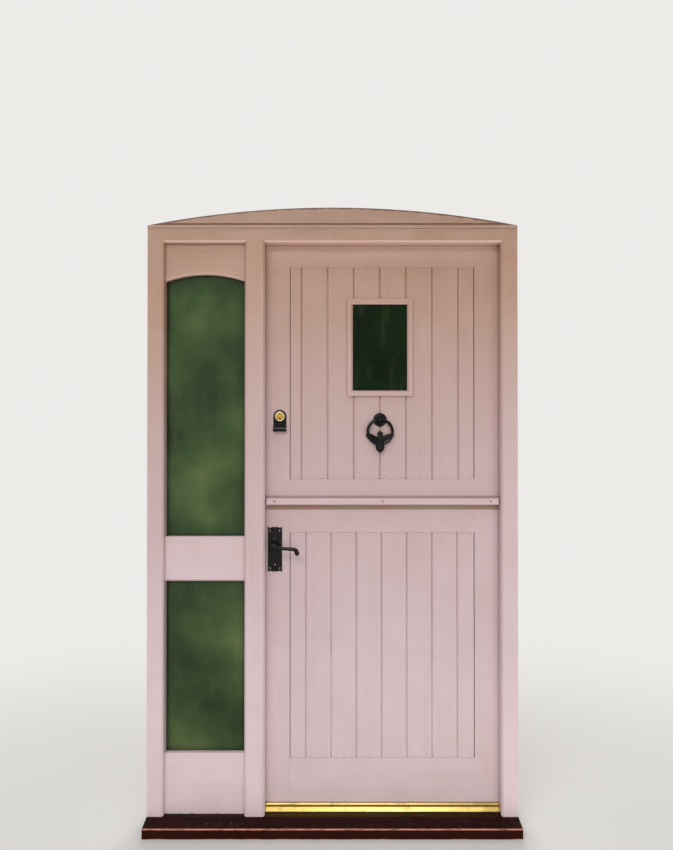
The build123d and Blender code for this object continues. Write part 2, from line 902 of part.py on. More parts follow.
def window_bead():
    """The raised bead round the window, bevelled on its outer and inner edges."""
    half_x = window_width / 2
    half_z = window_height / 2
    width = window_bead_width
    front = board_front - window_bead_depth
    shape = block(window_x - half_x - width, window_x + half_x + width, front, board_front,
                  window_z - half_z - width, window_z + half_z + width)
    outer = shape.edges().filter_by(Axis.Y, reverse=True).sort_by(Axis.Y)[:4]
    shape = chamfer(outer, window_bead_edge)
    opening = bevelled_light(window_x - half_x, window_x + half_x, window_z - half_z, window_z + half_z,
                             front, board_front + past, window_bead_bevel)
    return shape - opening


def window_pane():
    """The glass of the top leaf's window."""
    half_x = window_width / 2 + window_glass_cover - board_end_gap
    half_z = window_height / 2 + window_glass_cover - board_end_gap
    front = board_front + glass_gap
    return block(window_x - half_x, window_x + half_x, front, front + pane_thickness,
                 window_z - half_z, window_z + half_z)


def window_lining():
    """The frame that holds the pane from inside, with a flange against the backs of the boards."""
    half_x = window_width / 2
    half_z = window_height / 2
    sleeve_x = half_x + window_glass_cover - board_end_gap
    sleeve_z = half_z + window_glass_cover - board_end_gap
    front = board_front + 2 * glass_gap + pane_thickness
    back = board_back + window_lining_back
    sleeve = block(window_x - sleeve_x, window_x + sleeve_x, front, back,
                   window_z - sleeve_z, window_z + sleeve_z)
    flange_x = half_x + window_glass_cover + window_lining_flange
    flange_z = half_z + window_glass_cover + window_lining_flange
    flange = block(window_x - flange_x, window_x + flange_x, board_back, back,
                   window_z - flange_z, window_z + flange_z)
    hole = block(window_x - half_x, window_x + half_x, front - past, back + past,
                 window_z - half_z, window_z + half_z)
    return sleeve + flange - hole


def ledge_plug_places():
    """Places of the plugs over the ledge's screws, from left to right."""
    left = door_left + ledge_end_gap + ledge_plug_inset
    right = door_right - ledge_end_gap - ledge_plug_inset
    return [left, (left + right) / 2, right]


def ledge_plug(x, extra=0.0):
    """A plug over a screw in the ledge's face, or with extra size its hole."""
    front = leaf_front - ledge_depth
    start = front + pin_recess if extra == 0 else front - past
    z = top_leaf_foot + ledge_front_height / 2
    return rod("Y", start, front + ledge_plug_depth, x, z, ledge_plug_radius + extra)


def weather_ledge():
    """The moulding along the foot of the top leaf that throws rain clear of the joint."""
    front = leaf_front - ledge_depth
    foot = top_leaf_foot
    outline = [
        (leaf_front, foot),
        (front + 2 * ledge_drip, foot),
        (front + 2 * ledge_drip, foot + ledge_drip),
        (front + ledge_drip, foot + ledge_drip),
        (front + ledge_drip, foot),
        (front, foot),
        (front, foot + ledge_front_height),
        (leaf_front, foot + ledge_back_height),
    ]
    shape = bar("X", door_left + ledge_end_gap, door_right - ledge_end_gap, outline)
    nose = shape.edges().filter_by(Axis.X).sort_by(Axis.Y)[:2].sort_by(Axis.Z)[-1]
    shape = fillet(nose, ledge_nose)
    for x in ledge_plug_places():
        shape -= ledge_plug(x, pin_fit)
    return shape


def top_lock_stile():
    """The top leaf's lock stile with the bore for the cylinder."""
    shape = leaf_stile(-1, top_leaf_foot, top_leaf_top, top_panel_foot, top_panel_top)
    radius = cylinder_radius + cylinder_hole_clearance
    return shape - rod("Y", leaf_front - past, leaf_back + past, night_x, night_z, radius)


def top_hanging_stile():
    """The top leaf's stile at the hinges."""
    shape = leaf_stile(1, top_leaf_foot, top_leaf_top, top_panel_foot, top_panel_top)
    for middle in hinge_middles()[2:]:
        shape -= hinge_pocket_in_leaf(middle)
    return shape


def lock_case_limits(extra=0.0):
    """The lock case's box in the stile."""
    half = lock_case_thickness / 2 + extra
    return (leaf_left + forend_thickness - extra, leaf_left + lock_case_depth + extra,
            lock_middle_y - half, lock_middle_y + half,
            spindle_z - lock_case_fall - extra, spindle_z + lock_case_rise + extra)


def forend(extra=0.0):
    """The lock's face plate, flush in the leaf's edge."""
    half = forend_width / 2 + extra
    front = leaf_left if extra == 0 else leaf_left - past
    return block(front, leaf_left + forend_thickness + extra, lock_middle_y - half, lock_middle_y + half,
                 spindle_z - lock_case_fall - forend_overhang - extra,
                 spindle_z + lock_case_rise + forend_overhang + extra)


def bottom_lock_stile():
    """The bottom leaf's lock stile with the lock's mortice and the holes for spindle and key."""
    shape = leaf_stile(-1, bottom_leaf_foot, bottom_leaf_top, bottom_panel_foot, bottom_panel_top)
    shape -= block(*lock_case_limits(wood_fit))
    shape -= forend(wood_fit)
    shape -= rod("Y", leaf_front - past, leaf_back + past, spindle_x, spindle_z, spindle_hole_radius)
    for x, z in plate_screw_places():
        shape -= countersunk("Y", leaf_front - plate_thickness, 1, x, z, screw_fit)
        shape -= countersunk("Y", leaf_back + plate_thickness, -1, x, z, screw_fit)
    return shape - keyhole(spindle_x, spindle_z - keyhole_drop, leaf_front - past, leaf_back + past)


def bottom_hanging_stile():
    """The bottom leaf's stile at the hinges."""
    shape = leaf_stile(1, bottom_leaf_foot, bottom_leaf_top, bottom_panel_foot, bottom_panel_top)
    for middle in hinge_middles()[:2]:
        shape -= hinge_pocket_in_leaf(middle)
    return shape


def middle_ledge():
    """The ledge across the backs of the bottom leaf's boards."""
    middle = bottom_leaf_foot + middle_ledge_centre
    return block(panel_left + shoulder_width, panel_right - shoulder_width, board_back, leaf_back,
                 middle - middle_ledge_height / 2, middle + middle_ledge_height / 2)


def lock_case():
    """The mortice lock's case and face plate, hollow for its bolts and follower."""
    x0, x1, y0, y1, z0, z1 = lock_case_limits()
    wall = lock_wall
    shape = block(x0, x1, y0, y1, z0, z1) - block(x0, x1 - wall, y0 + wall, y1 - wall, z0 + wall, z1 - wall)
    shape += forend()
    shape -= rod("Y", y0 - past, y1 + past, spindle_x, spindle_z, follower_radius + shaft_fit)
    shape -= keyhole(spindle_x, spindle_z - keyhole_drop, y0 - past, y1 + past)
    shape -= latch_box(latch_throw, bolt_clearance)
    return shape - dead_bolt_box(dead_bolt_throw, bolt_clearance)


def latch_bolt():
    """The sprung bolt that the lever draws back, bevelled on the side that meets the keep first."""
    tip = leaf_left - latch_throw
    front = lock_middle_y - latch_thickness / 2
    back = lock_middle_y + latch_thickness / 2
    outline = [
        (tip, back),
        (tip, back - latch_nose),
        (leaf_left, front),
        (tip + latch_length, front),
        (tip + latch_length, back),
    ]
    z = spindle_z + latch_rise
    return bar("Z", z - latch_height / 2, z + latch_height / 2, outline)


def dead_bolt():
    """The bolt that the key throws, drawn back at rest."""
    shape = dead_bolt_box(0)
    tip = shape.edges().filter_by(Axis.Z).group_by(Axis.X)[0]
    return fillet(tip, dead_bolt_round)


def follower():
    """The hub in the lock that the spindle turns."""
    half = lock_case_thickness / 2
    shape = rod("Y", lock_middle_y - half, lock_middle_y + half, spindle_x, spindle_z, follower_radius)
    side = spindle_side / 2 + shaft_fit
    return shape - block(spindle_x - side, spindle_x + side, lock_middle_y - half - past,
                         lock_middle_y + half + past, spindle_z - side, spindle_z + side)


def plate_outline(y):
    """The handle plate's outline, with waved ends."""
    half = plate_width / 2
    top = spindle_z - plate_drop + plate_height / 2
    foot = spindle_z - plate_drop - plate_height / 2
    edges = []
    for level, turn in ((top, 1), (foot, -1)):
        for side in (-1, 1):
            corner = (spindle_x + side * half, y, level)
            reach = side * half
            depth = turn * plate_wave
            dip = (spindle_x + reach * plate_dip_place, y, level - depth)
            turn_point = (spindle_x + reach * plate_turn_place, y, level - depth * plate_turn_depth)
            crest = (spindle_x + reach * plate_crest_place, y, level - depth * plate_crest_depth)
            centre = (spindle_x, y, level - depth * plate_centre_depth)
            edges.append(ThreePointArc(corner, dip, turn_point))
            edges.append(ThreePointArc(turn_point, crest, centre))
    for side in (-1, 1):
        edges.append(Line((spindle_x + side * half, y, foot), (spindle_x + side * half, y, top)))
    return make_face(edges)


def handle_plate(face, out):
    """A handle's plate on a face of the leaf, standing out along -Y or +Y, with its stepped boss."""
    outer = face + out * plate_thickness
    step = outer + out * boss_step_height
    tip = outer + out * boss_height
    shape = extrude(plate_outline(min(face, outer)), amount=plate_thickness, dir=(0, 1, 0))
    shape += rod("Y", *sorted((outer, step)), spindle_x, spindle_z, boss_step_radius)
    shape += rod("Y", *sorted((outer, tip)), spindle_x, spindle_z, boss_radius)
    y0, y1 = sorted((face - out * past, tip + out * past))
    shape -= rod("Y", y0, y1, spindle_x, spindle_z, neck_radius + neck_clearance)
    shape -= keyhole(spindle_x, spindle_z - keyhole_drop, y0, y1)
    for x, z in plate_screw_places():
        shape -= countersunk("Y", outer, -out, x, z, screw_fit)
    return shape


def plate_screw_places():
    """The four screws of a handle plate."""
    middle = spindle_z - plate_drop
    return [(spindle_x + a * plate_screw_x, middle + b * plate_screw_z) for a in (-1, 1) for b in (-1, 1)]


def lever(face, out):
    """A lever handle: a neck through the plate, a straight rod, and an end that curls down to a ball."""
    rod_y = face + out * lever_projection
    shape = rod("Y", *sorted((face + out * neck_start, rod_y)), spindle_x, spindle_z, neck_radius)
    shape += Pos(spindle_x, rod_y, spindle_z) * Sphere(lever_elbow_radius)
    rod_z = spindle_z - lever_rod_drop
    tip_x = spindle_x + lever_reach
    curl_x = tip_x - lever_bend
    shape += Pos(spindle_x, rod_y, rod_z) * Sphere(lever_rod_radius)
    shape += rod("X", spindle_x, curl_x, rod_y, rod_z, lever_rod_radius)
    section = Plane(origin=(curl_x, rod_y, rod_z), z_dir=(1, 0, 0)) * Circle(lever_rod_radius)
    curl_axis = Axis((curl_x, rod_y, rod_z - lever_bend), (0, 1, 0))
    shape += revolve(section, curl_axis, 90)
    shape += Pos(tip_x, rod_y, rod_z - lever_bend - lever_ball_drop) * Sphere(lever_ball_radius)
    side = spindle_side / 2 + shaft_fit
    y0, y1 = sorted((face - out * past, face + out * spindle_reach))
    return shape - block(spindle_x - side, spindle_x + side, y0, y1, spindle_z - side, spindle_z + side)


def spindle():
    """The square bar that joins the two levers through the lock."""
    side = spindle_side / 2
    return block(spindle_x - side, spindle_x + side, leaf_front - spindle_reach, leaf_back + spindle_reach,
                 spindle_z - side, spindle_z + side)


def night_case():
    """The night latch's case on the inside of the top leaf, open at its back."""
    x0 = leaf_left + night_case_inset
    z0 = night_z - night_case_height / 2
    wall = night_case_wall
    x1 = x0 + night_case_width
    z1 = z0 + night_case_height
    shape = block(x0, x1, leaf_back, leaf_back + night_case_depth, z0, z1)
    front = shape.edges().group_by(Axis.Y)[-1]
    shape = fillet(front, night_case_round)
    shape -= block(x0 + wall, x1 - wall, leaf_back - past, leaf_back + night_case_depth - wall,
                   z0 + wall, z1 - wall)
    shape -= night_bolt_box(night_bolt_throw, bolt_clearance)
    deep = leaf_back + night_case_depth
    return shape - rod("Y", deep - wall - past, deep + past, night_x, night_z, night_knob_neck + shaft_fit)


def night_bolt_box(out, extra=0.0):
    """The space of the night latch's bolt when it stands out of the case by the given length."""
    tip = leaf_left + night_case_inset - out
    y0 = leaf_back + night_bolt_stand
    return block(tip - extra, tip + night_bolt_length + extra, y0 - extra, y0 + night_bolt_thickness + extra,
                 night_z - night_bolt_height / 2 - extra, night_z + night_bolt_height / 2 + extra)


def night_bolt():
    """The night latch's sprung bolt, bevelled on the side that meets its keep first."""
    shape = night_bolt_box(night_bolt_throw)
    tip = shape.edges().filter_by(Axis.Z).group_by(Axis.X)[0].sort_by(Axis.Y)[0]
    return chamfer(tip, night_bolt_bevel)


def night_knob():
    """The turn knob on the night latch, with a bar across its face."""
    deep = leaf_back + night_case_depth
    start = deep - night_case_wall
    face = deep + night_knob_stand
    shape = rod("Y", start, face, night_x, night_z, night_knob_neck)
    shape += rod("Y", face, face + night_knob_thickness, night_x, night_z, night_knob_radius)
    reach = night_knob_bar_reach
    half = night_knob_bar_width / 2
    return shape + block(night_x - reach, night_x + reach, face, face + night_knob_thickness,
                         night_z - half, night_z + half)


def night_keep():
    """The box on the mullion's back that the night latch's bolt enters."""
    x1 = leaf_left - night_keep_gap
    x0 = x1 - night_keep_width
    z0 = night_z - night_case_height / 2
    deep = leaf_back + night_case_depth
    shape = block(x0, x1, frame_depth, deep, z0, z0 + night_case_height)
    front = shape.edges().group_by(Axis.Y)[-1]
    shape = fillet(front, night_case_round)
    return shape - night_bolt_box(night_bolt_throw + past, 2 * bolt_clearance)


def cylinder_pull():
    """The finger pull round the cylinder: a round-topped plate whose foot curls out and up to a lip."""
    half = pull_width / 2
    top = night_z + pull_cylinder_drop
    foot = top - pull_height
    y = leaf_front - pull_thickness
    arc = ThreePointArc((night_x + half, y, top - half), (night_x, y, top), (night_x - half, y, top - half))
    sides = Polyline((night_x - half, y, top - half), (night_x - half, y, foot), (night_x + half, y, foot),
                     (night_x + half, y, top - half))
    shape = extrude(make_face([arc, sides]), amount=pull_thickness, dir=(0, 1, 0))
    front = leaf_front - pull_lip_depth
    lip = block(night_x - half, night_x + half, front, leaf_front, foot, foot + pull_lip_height)
    lip = fillet(lip.edges().filter_by(Axis.X).sort_by(Axis.Y)[:2].sort_by(Axis.Z)[0], pull_lip_round)
    trough = block(night_x - half - past, night_x + half + past, front + pull_thickness, y,
                   foot + pull_thickness, foot + pull_lip_height + past)
    low_edges = trough.edges().filter_by(Axis.X).group_by(Axis.Z)[0]
    shape += lip - fillet(low_edges, pull_trough_round)
    return shape - rod("Y", y - past, leaf_front + past, night_x, night_z, cylinder_radius + pin_fit)


def cylinder_body():
    """The brass cylinder through the stile, with the ring that shows outside."""
    y = leaf_front - pull_thickness
    shape = rod("Y", y - cylinder_ring_height, y, night_x, night_z, cylinder_ring_radius)
    shape = chamfer(shape.edges().group_by(Axis.Y)[0], cylinder_ring_bevel)
    shape += rod("Y", y, y + cylinder_body_length, night_x, night_z, cylinder_radius)
    start = y - cylinder_ring_height - past
    return shape - rod("Y", start, y + cylinder_body_length + past, night_x, night_z - plug_drop,
                       plug_radius + shaft_fit)


def cylinder_plug():
    """The part of the cylinder that the key turns, with its flat tail bar."""
    y = leaf_front - pull_thickness - cylinder_ring_height - plug_proud
    z = night_z - plug_drop
    end = leaf_front - pull_thickness + cylinder_body_length
    shape = rod("Y", y, end, night_x, z, plug_radius)
    half = key_slot_width / 2
    shape -= block(night_x - half, night_x + half, y - past, y + key_slot_depth,
                   z - key_slot_foot, z + key_slot_top)
    return shape + block(night_x - tail_thickness / 2, night_x + tail_thickness / 2, end, end + tail_length,
                         z - tail_width / 2, z + tail_width / 2)


def knocker_boss():
    """The domed boss that the knocker's ring hangs from."""
    radius = knocker_boss_radius
    rim_front = board_front - knocker_boss_rim
    front = block(window_x - radius, window_x + radius, rim_front - radius, rim_front,
                  knocker_z - radius, knocker_z + radius)
    dome = Pos(window_x, rim_front, knocker_z) * Sphere(radius)
    body = (front & dome) + rod("Y", rim_front, board_front, window_x, knocker_z, radius)
    return body - rod("X", window_x - radius - past, window_x + radius + past, knocker_y, knocker_z,
                      knocker_pin_radius + shaft_fit)


def ball(x, y, z, radius, flat):
    """A ball pressed flat along Y."""
    return Pos(x, y, z) * scale(Sphere(radius), by=(1, flat, 1))


def knocker_ring():
    """The ring with its pivot pin and the winged insect cast into its lower half."""
    ring_z = knocker_z - knocker_ring_drop
    radius = knocker_ring_radius
    turn = math.degrees(math.acos(knocker_shoulder / radius))
    path = Plane(origin=(window_x, knocker_y, ring_z), x_dir=(1, 0, 0), z_dir=(0, -1, 0))
    arc = path * CenterArc((0, 0), radius, 180 - turn, 180 + 2 * turn)
    ends = Plane(origin=arc @ 0, z_dir=arc % 0)
    shape = sweep(ends * Circle(knocker_rod_radius), path=arc)
    shoulder_z = ring_z + math.sqrt(radius ** 2 - knocker_shoulder ** 2)
    for side in (-1, 1):
        x = window_x + side * knocker_shoulder
        shape += rod("Z", shoulder_z, knocker_z, x, knocker_y, knocker_rod_radius)
        shape += Pos(x, knocker_y, knocker_z) * Sphere(knocker_rod_radius)
        shape += Pos(x, knocker_y, shoulder_z) * Sphere(knocker_rod_radius)
    shape += rod("X", window_x - knocker_shoulder, window_x + knocker_shoulder, knocker_y, knocker_z,
                 knocker_pin_radius)
    flat = knocker_flatness
    shape += ball(window_x, knocker_y, ring_z + knocker_head_rise, knocker_head_radius, flat)
    shape += ball(window_x, knocker_y, ring_z - knocker_body_drop, knocker_body_radius, flat)
    shape += ball(window_x, knocker_y, ring_z - knocker_tip_drop, knocker_tip_radius, flat)
    shape += ball(window_x, knocker_y, ring_z - knocker_belly_drop, knocker_belly_radius, flat)
    half = knocker_wing_thickness / 2
    for side in (-1, 1):
        wing = [(window_x + side * x, ring_z + z) for x, z in knocker_wing]
        shape += bar("Y", knocker_y - half, knocker_y + half, wing)
    return shape


def knocker_striker():
    """The stud on the boards that the ring's tail rests on."""
    end = knocker_y + knocker_belly_radius * knocker_flatness + knocker_striker_gap
    z = knocker_z - knocker_ring_drop - knocker_belly_drop
    return rod("Y", end, board_front, window_x, z, knocker_striker_radius)


def barrel_case():
    """The barrel bolt's case on the inside of the bottom leaf, with a slot for the rod's knob."""
    top = bottom_leaf_top - barrel_edge
    half = barrel_case_width / 2
    shape = block(barrel_x - half, barrel_x + half, leaf_back, leaf_back + barrel_case_depth,
                  top - barrel_case_height, top)
    plate = barrel_plate_width / 2
    middle = top - barrel_case_height / 2
    shape += block(barrel_x - plate, barrel_x + plate, leaf_back, leaf_back + barrel_plate_thickness,
                   middle - barrel_plate_height / 2,
                   min(middle + barrel_plate_height / 2, bottom_leaf_top - barrel_plate_edge))
    shape -= rod("Z", top - barrel_case_height - past, top + past, barrel_x, barrel_y,
                 barrel_rod_radius + shaft_fit)
    slot = barrel_knob_radius + bolt_clearance
    low = barrel_knob_height() - slot
    return shape - block(barrel_x - slot, barrel_x + slot, barrel_y, leaf_back + barrel_case_depth + past,
                         low, low + 2 * slot + barrel_travel)


def barrel_knob_height():
    """Height of the rod's knob at rest, low in its slot."""
    top = bottom_leaf_top - barrel_edge
    return top - barrel_case_height / 2 - barrel_travel / 2


def barrel_rod():
    """The round bolt, drawn down at rest, which shoots up into the top leaf's keep."""
    top = bottom_leaf_top - barrel_rod_setback
    shape = rod("Z", top - barrel_rod_length, top, barrel_x, barrel_y, barrel_rod_radius)
    z = barrel_knob_height()
    shape += rod("Y", barrel_y, barrel_y + barrel_knob_length, barrel_x, z, barrel_knob_radius)
    return shape + Pos(barrel_x, barrel_y + barrel_knob_length, z) * Sphere(barrel_knob_ball)


def barrel_keep():
    """The keep on the top leaf that the rod enters."""
    foot = top_leaf_foot + barrel_keep_edge
    half = barrel_case_width / 2
    plate = barrel_plate_width / 2
    shape = block(barrel_x - half, barrel_x + half, leaf_back, leaf_back + barrel_case_depth,
                  foot, foot + barrel_keep_height)
    shape += block(barrel_x - plate, barrel_x + plate, leaf_back, leaf_back + barrel_plate_thickness,
                   foot, foot + barrel_keep_height)
    return shape - rod("Z", foot - past, foot + barrel_keep_height + past, barrel_x, barrel_y,
                       barrel_rod_radius + barrel_keep_clearance)


def save(name, shapes):
    """Write one node, made of one solid or of several."""
    group = shapes if isinstance(shapes, list) else [shapes]
    solids = [solid for shape in group for solid in shape.solids()]
    whole = solids[0] if len(solids) == 1 else Compound(children=solids)
    whole.label = name
    export_step(whole, "parts/" + name + ".step")


top_edges = board_edges(top_first_board, top_board_pitch)
bottom_edges = board_edges(bottom_first_board, bottom_board_pitch)
top_pins = end_pin_places(top_edges, top_panel_foot, top_panel_top)
bottom_pins = end_pin_places(bottom_edges, bottom_panel_foot, bottom_panel_top)
bottom_pins += ledge_pin_places(bottom_edges)
lower_light, upper_light = sidelight_levels()

save("sill", sill())
save("frame_jamb_left", left_jamb())
save("frame_jamb_right", right_jamb())
save("frame_mullion", mullion())
save("frame_head", head())
save("head_cover_strip", cover_strip())
save("arch_board", arch_board())
save("frame_seal", seal_strips())
save("threshold_bar", threshold_bar())
save("lock_keep", lock_keep())
save("night_latch_keep", night_keep())

save("sidelight_base_rail", sidelight_base_rail())
save("sidelight_middle_rail", sidelight_middle_rail())
save("sidelight_top_rail", sidelight_top_rail())
save("sidelight_panes", [sidelight_pane(*lower_light), sidelight_pane(*upper_light, side_arch_rise)])
save("sidelight_beads", bead_frame(*lower_light) + bead_frame(*upper_light, side_arch_rise))

hinges = hinge_middles()
frame_screw_y = hinge_plate_front(frame_depth) + hinge_plate_depth / 2
leaf_screw_y = hinge_plate_front(leaf_back) + hinge_plate_depth / 2
outside_face = leaf_front - plate_thickness
inside_face = leaf_back + plate_thickness
frame_screws = [countersunk("X", leaf_right + leaf_gap, 1, frame_screw_y, z)
                for middle in hinges for z in hinge_screw_heights(middle)]
top_screws = [countersunk("X", leaf_right, -1, leaf_screw_y, z)
              for middle in hinges[2:] for z in hinge_screw_heights(middle)]
bottom_screws = [countersunk("X", leaf_right, -1, leaf_screw_y, z)
                 for middle in hinges[:2] for z in hinge_screw_heights(middle)]
bottom_screws += [countersunk("Y", outside_face, 1, x, z) for x, z in plate_screw_places()]
bottom_screws += [countersunk("Y", inside_face, -1, x, z) for x, z in plate_screw_places()]
save("hinge_frame_plates", [frame_plate(middle) for middle in hinges])
save("hinge_pins", [hinge_pin(middle) for middle in hinges])
save("frame_screws", frame_screws)
save("bottom_leaf_hinge_plates", [leaf_plate(middle) for middle in hinges[:2]])
save("top_leaf_hinge_plates", [leaf_plate(middle) for middle in hinges[2:]])
save("bottom_leaf_screws", bottom_screws)
save("top_leaf_screws", top_screws)

save("top_leaf_lock_stile", top_lock_stile())
save("top_leaf_hanging_stile", top_hanging_stile())
save("top_leaf_head_rail", leaf_rail(top_panel_top, top_leaf_top, top_panel_top - shoulder_width, top_leaf_top))
save("top_leaf_meeting_rail", leaf_rail(top_leaf_foot, top_panel_foot, top_leaf_foot,
                                        top_panel_foot + shoulder_width))
hole = window_hole()
save("top_leaf_boards", [shape - hole for shape in boards(top_edges, top_panel_foot, top_panel_top, top_pins)])
save("top_leaf_pins", [board_pin(x, z) for x, z in top_pins] + [ledge_plug(x) for x in ledge_plug_places()])
save("window_bead", window_bead())
save("window_pane", window_pane())
save("window_lining", window_lining())
save("weather_ledge", weather_ledge())

save("bottom_leaf_lock_stile", bottom_lock_stile())
save("bottom_leaf_hanging_stile", bottom_hanging_stile())
save("bottom_leaf_meeting_rail", leaf_rail(bottom_panel_top, bottom_leaf_top, bottom_panel_top - shoulder_width,
                                           bottom_leaf_top))
save("bottom_leaf_base_rail", leaf_rail(bottom_leaf_foot, bottom_panel_foot, bottom_leaf_foot,
                                        bottom_panel_foot + shoulder_width))
save("bottom_leaf_middle_ledge", middle_ledge())
save("bottom_leaf_boards", boards(bottom_edges, bottom_panel_foot, bottom_panel_top, bottom_pins))
save("bottom_leaf_pins", [board_pin(x, z) for x, z in bottom_pins])

save("lock_case", lock_case())
save("latch_bolt", latch_bolt())
save("dead_bolt", dead_bolt())
save("lock_follower", follower())
save("handle_plates", [handle_plate(leaf_front, -1), handle_plate(leaf_back, 1)])
save("outside_lever", lever(leaf_front, -1))
save("inside_lever", lever(leaf_back, 1))
save("handle_spindle", spindle())

save("cylinder_pull", cylinder_pull())
save("cylinder_body", cylinder_body())
save("cylinder_plug", cylinder_plug())
save("night_latch_case", night_case())
save("night_latch_bolt", night_bolt())
save("night_latch_knob", night_knob())
save("knocker_boss", knocker_boss())
save("knocker_ring", knocker_ring())
save("knocker_striker", knocker_striker())
save("barrel_bolt_case", barrel_case())
save("barrel_bolt_rod", barrel_rod())
save("barrel_bolt_keep", barrel_keep())
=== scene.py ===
# %% [markdown]
# # A dutch stable door in its frame, with its sidelight
# The real door is a softwood door cut across at waist height, so that the upper leaf opens alone. It hangs in
# a frame with a narrow window beside it, painted a dusty pink, on a dark varnished hardwood sill.
# The CAD model gives every size and every joint. This lesson dresses it: paint, varnish, brass, iron and
# glass, and a few pieces that are too rounded or too small for the CAD model.
# First the imported frame is loaded. The dressed door has to stay inside it.

# %% Load the frame
import math

import bmesh
import bpy
from mathutils import Matrix, Vector, noise


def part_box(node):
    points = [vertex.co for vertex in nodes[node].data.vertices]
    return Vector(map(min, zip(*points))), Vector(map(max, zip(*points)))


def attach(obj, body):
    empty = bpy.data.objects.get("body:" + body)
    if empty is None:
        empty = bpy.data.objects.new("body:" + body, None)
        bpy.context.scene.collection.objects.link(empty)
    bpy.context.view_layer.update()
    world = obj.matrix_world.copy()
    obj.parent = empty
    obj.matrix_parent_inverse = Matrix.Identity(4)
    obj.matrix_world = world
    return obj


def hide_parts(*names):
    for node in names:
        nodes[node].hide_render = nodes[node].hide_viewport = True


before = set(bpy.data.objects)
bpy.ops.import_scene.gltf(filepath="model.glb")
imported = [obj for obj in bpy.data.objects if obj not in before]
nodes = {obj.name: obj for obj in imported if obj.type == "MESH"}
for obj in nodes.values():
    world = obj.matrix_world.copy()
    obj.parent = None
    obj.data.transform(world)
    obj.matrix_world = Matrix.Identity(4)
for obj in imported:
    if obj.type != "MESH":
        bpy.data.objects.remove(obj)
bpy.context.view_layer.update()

# %% [markdown]
# ## The camera
# The photograph was taken from outside, square to the door and a little left of its middle, at chest
# height. The distance and the lens were worked out from the known width of the frame, so that each edge of
# the model falls on the same place of the picture. The picture is upright, and Blender fits the sensor's
# width to the longer side, so the lens is set from the picture's height.

# %% Camera
PICTURE_HIGH = 850
FOCAL_IN_PIXELS = 692.6
EYE = Vector((0.0139, -2.400, 1.3767))
TILT_UP = 0.0075
SENSOR_WIDE = 36


def placed(name, data):
    """Makes an object of some data and links it into the scene."""
    made = bpy.data.objects.new(name, data)
    bpy.context.scene.collection.objects.link(made)
    return made


camera_data = bpy.data.cameras.new("camera")
camera_data.sensor_width = SENSOR_WIDE
camera_data.lens = SENSOR_WIDE * FOCAL_IN_PIXELS / PICTURE_HIGH
camera_data.clip_start, camera_data.clip_end = 0.05, 200
camera = placed("camera", camera_data)
camera.location = EYE
camera.rotation_euler = (math.radians(90) + TILT_UP, 0, 0)
bpy.context.scene.camera = camera
print("lens in mm:", round(camera_data.lens, 2))

# %% [markdown]
# ## Small helpers for materials
# Each finish is a network of nodes on the Principled shader. A few short helpers add a node, join two sockets
# and make the patterns that come back in each finish: clouds of noise, streaks along the grain, and ramps.
# All patterns read Object coordinates. Each object sits at the origin, so they are metres in the door's own
# frame, and a pattern never slides when the view changes.

# %% Material helpers
def finish_named(name):
    material = bpy.data.materials.new(name)
    material.use_nodes = True
    tree = material.node_tree
    return material, tree, tree.nodes["Principled BSDF"]


def add(tree, kind, inputs=None, **settings):
    made = tree.nodes.new(kind)
    for key, value in settings.items():
        setattr(made, key, value)
    for key, value in (inputs or {}).items():
        if isinstance(value, bpy.types.NodeSocket):
            tree.links.new(value, made.inputs[key])
        else:
            made.inputs[key].default_value = value
    return made


def place(tree, scale=(1, 1, 1), shift=(0, 0, 0)):
    where = add(tree, "ShaderNodeTexCoord").outputs["Object"]
    settings = {"Vector": where, "Location": shift, "Scale": scale}
    return add(tree, "ShaderNodeMapping", settings).outputs["Vector"]


def clouds(tree, scale, detail=4.0, rough=0.55, stretch=(1, 1, 1), shift=(0, 0, 0)):
    where = place(tree, stretch, shift)
    settings = {"Vector": where, "Scale": scale, "Detail": detail, "Roughness": rough}
    return add(tree, "ShaderNodeTexNoise", settings).outputs["Fac"]


print("helpers for patterns ready")

# %% [markdown]
# A pattern gives values around a half. They are stretched to the range that a mask needs, shares are
# multiplied, and a share then blends one colour into another. Colours are written as a screen shows them,
# from 0 to 255, and turned into the linear values that a shader takes.

# %% Helpers for values and colours
def between(tree, value, low, high, to_low=0.0, to_high=1.0, smooth=False):
    kind = "SMOOTHSTEP" if smooth else "LINEAR"
    settings = {"Value": value, "From Min": low, "From Max": high, "To Min": to_low, "To Max": to_high}
    return add(tree, "ShaderNodeMapRange", settings, interpolation_type=kind, clamp=True).outputs["Result"]


def maths(tree, operation, a, b):
    return add(tree, "ShaderNodeMath", {0: a, 1: b}, operation=operation).outputs[0]


def times(tree, first, *others):
    """The product of several shares, so that each one can hold the whole back."""
    for other in others:
        first = maths(tree, "MULTIPLY", first, other)
    return first


def blend(tree, share, a, b):
    """Colour a where the share is 0, and colour b where it is 1."""
    made = add(tree, "ShaderNodeMix", data_type="RGBA")
    for key, value in ((0, share), (6, a), (7, b)):
        if isinstance(value, bpy.types.NodeSocket):
            tree.links.new(value, made.inputs[key])
        else:
            made.inputs[key].default_value = value
    return made.outputs[2]


def ramp(tree, value, stops):
    made = add(tree, "ShaderNodeValToRGB", {"Fac": value})
    elements = made.color_ramp.elements
    while len(elements) < len(stops):
        elements.new(1.0)
    for element, (spot, colour) in zip(elements, stops):
        element.position = spot
        element.color = colour
    return made.outputs["Color"]


def screen(red, green, blue):
    """A colour as a screen shows it, 0 to 255, as the linear value that a shader takes."""
    return tuple(((c / 255 + 0.055) / 1.055) ** 2.4 if c > 10 else c / 255 / 12.92
                 for c in (red, green, blue)) + (1.0,)


print("a middle grey as a shader takes it:", round(screen(128, 128, 128)[0], 3))

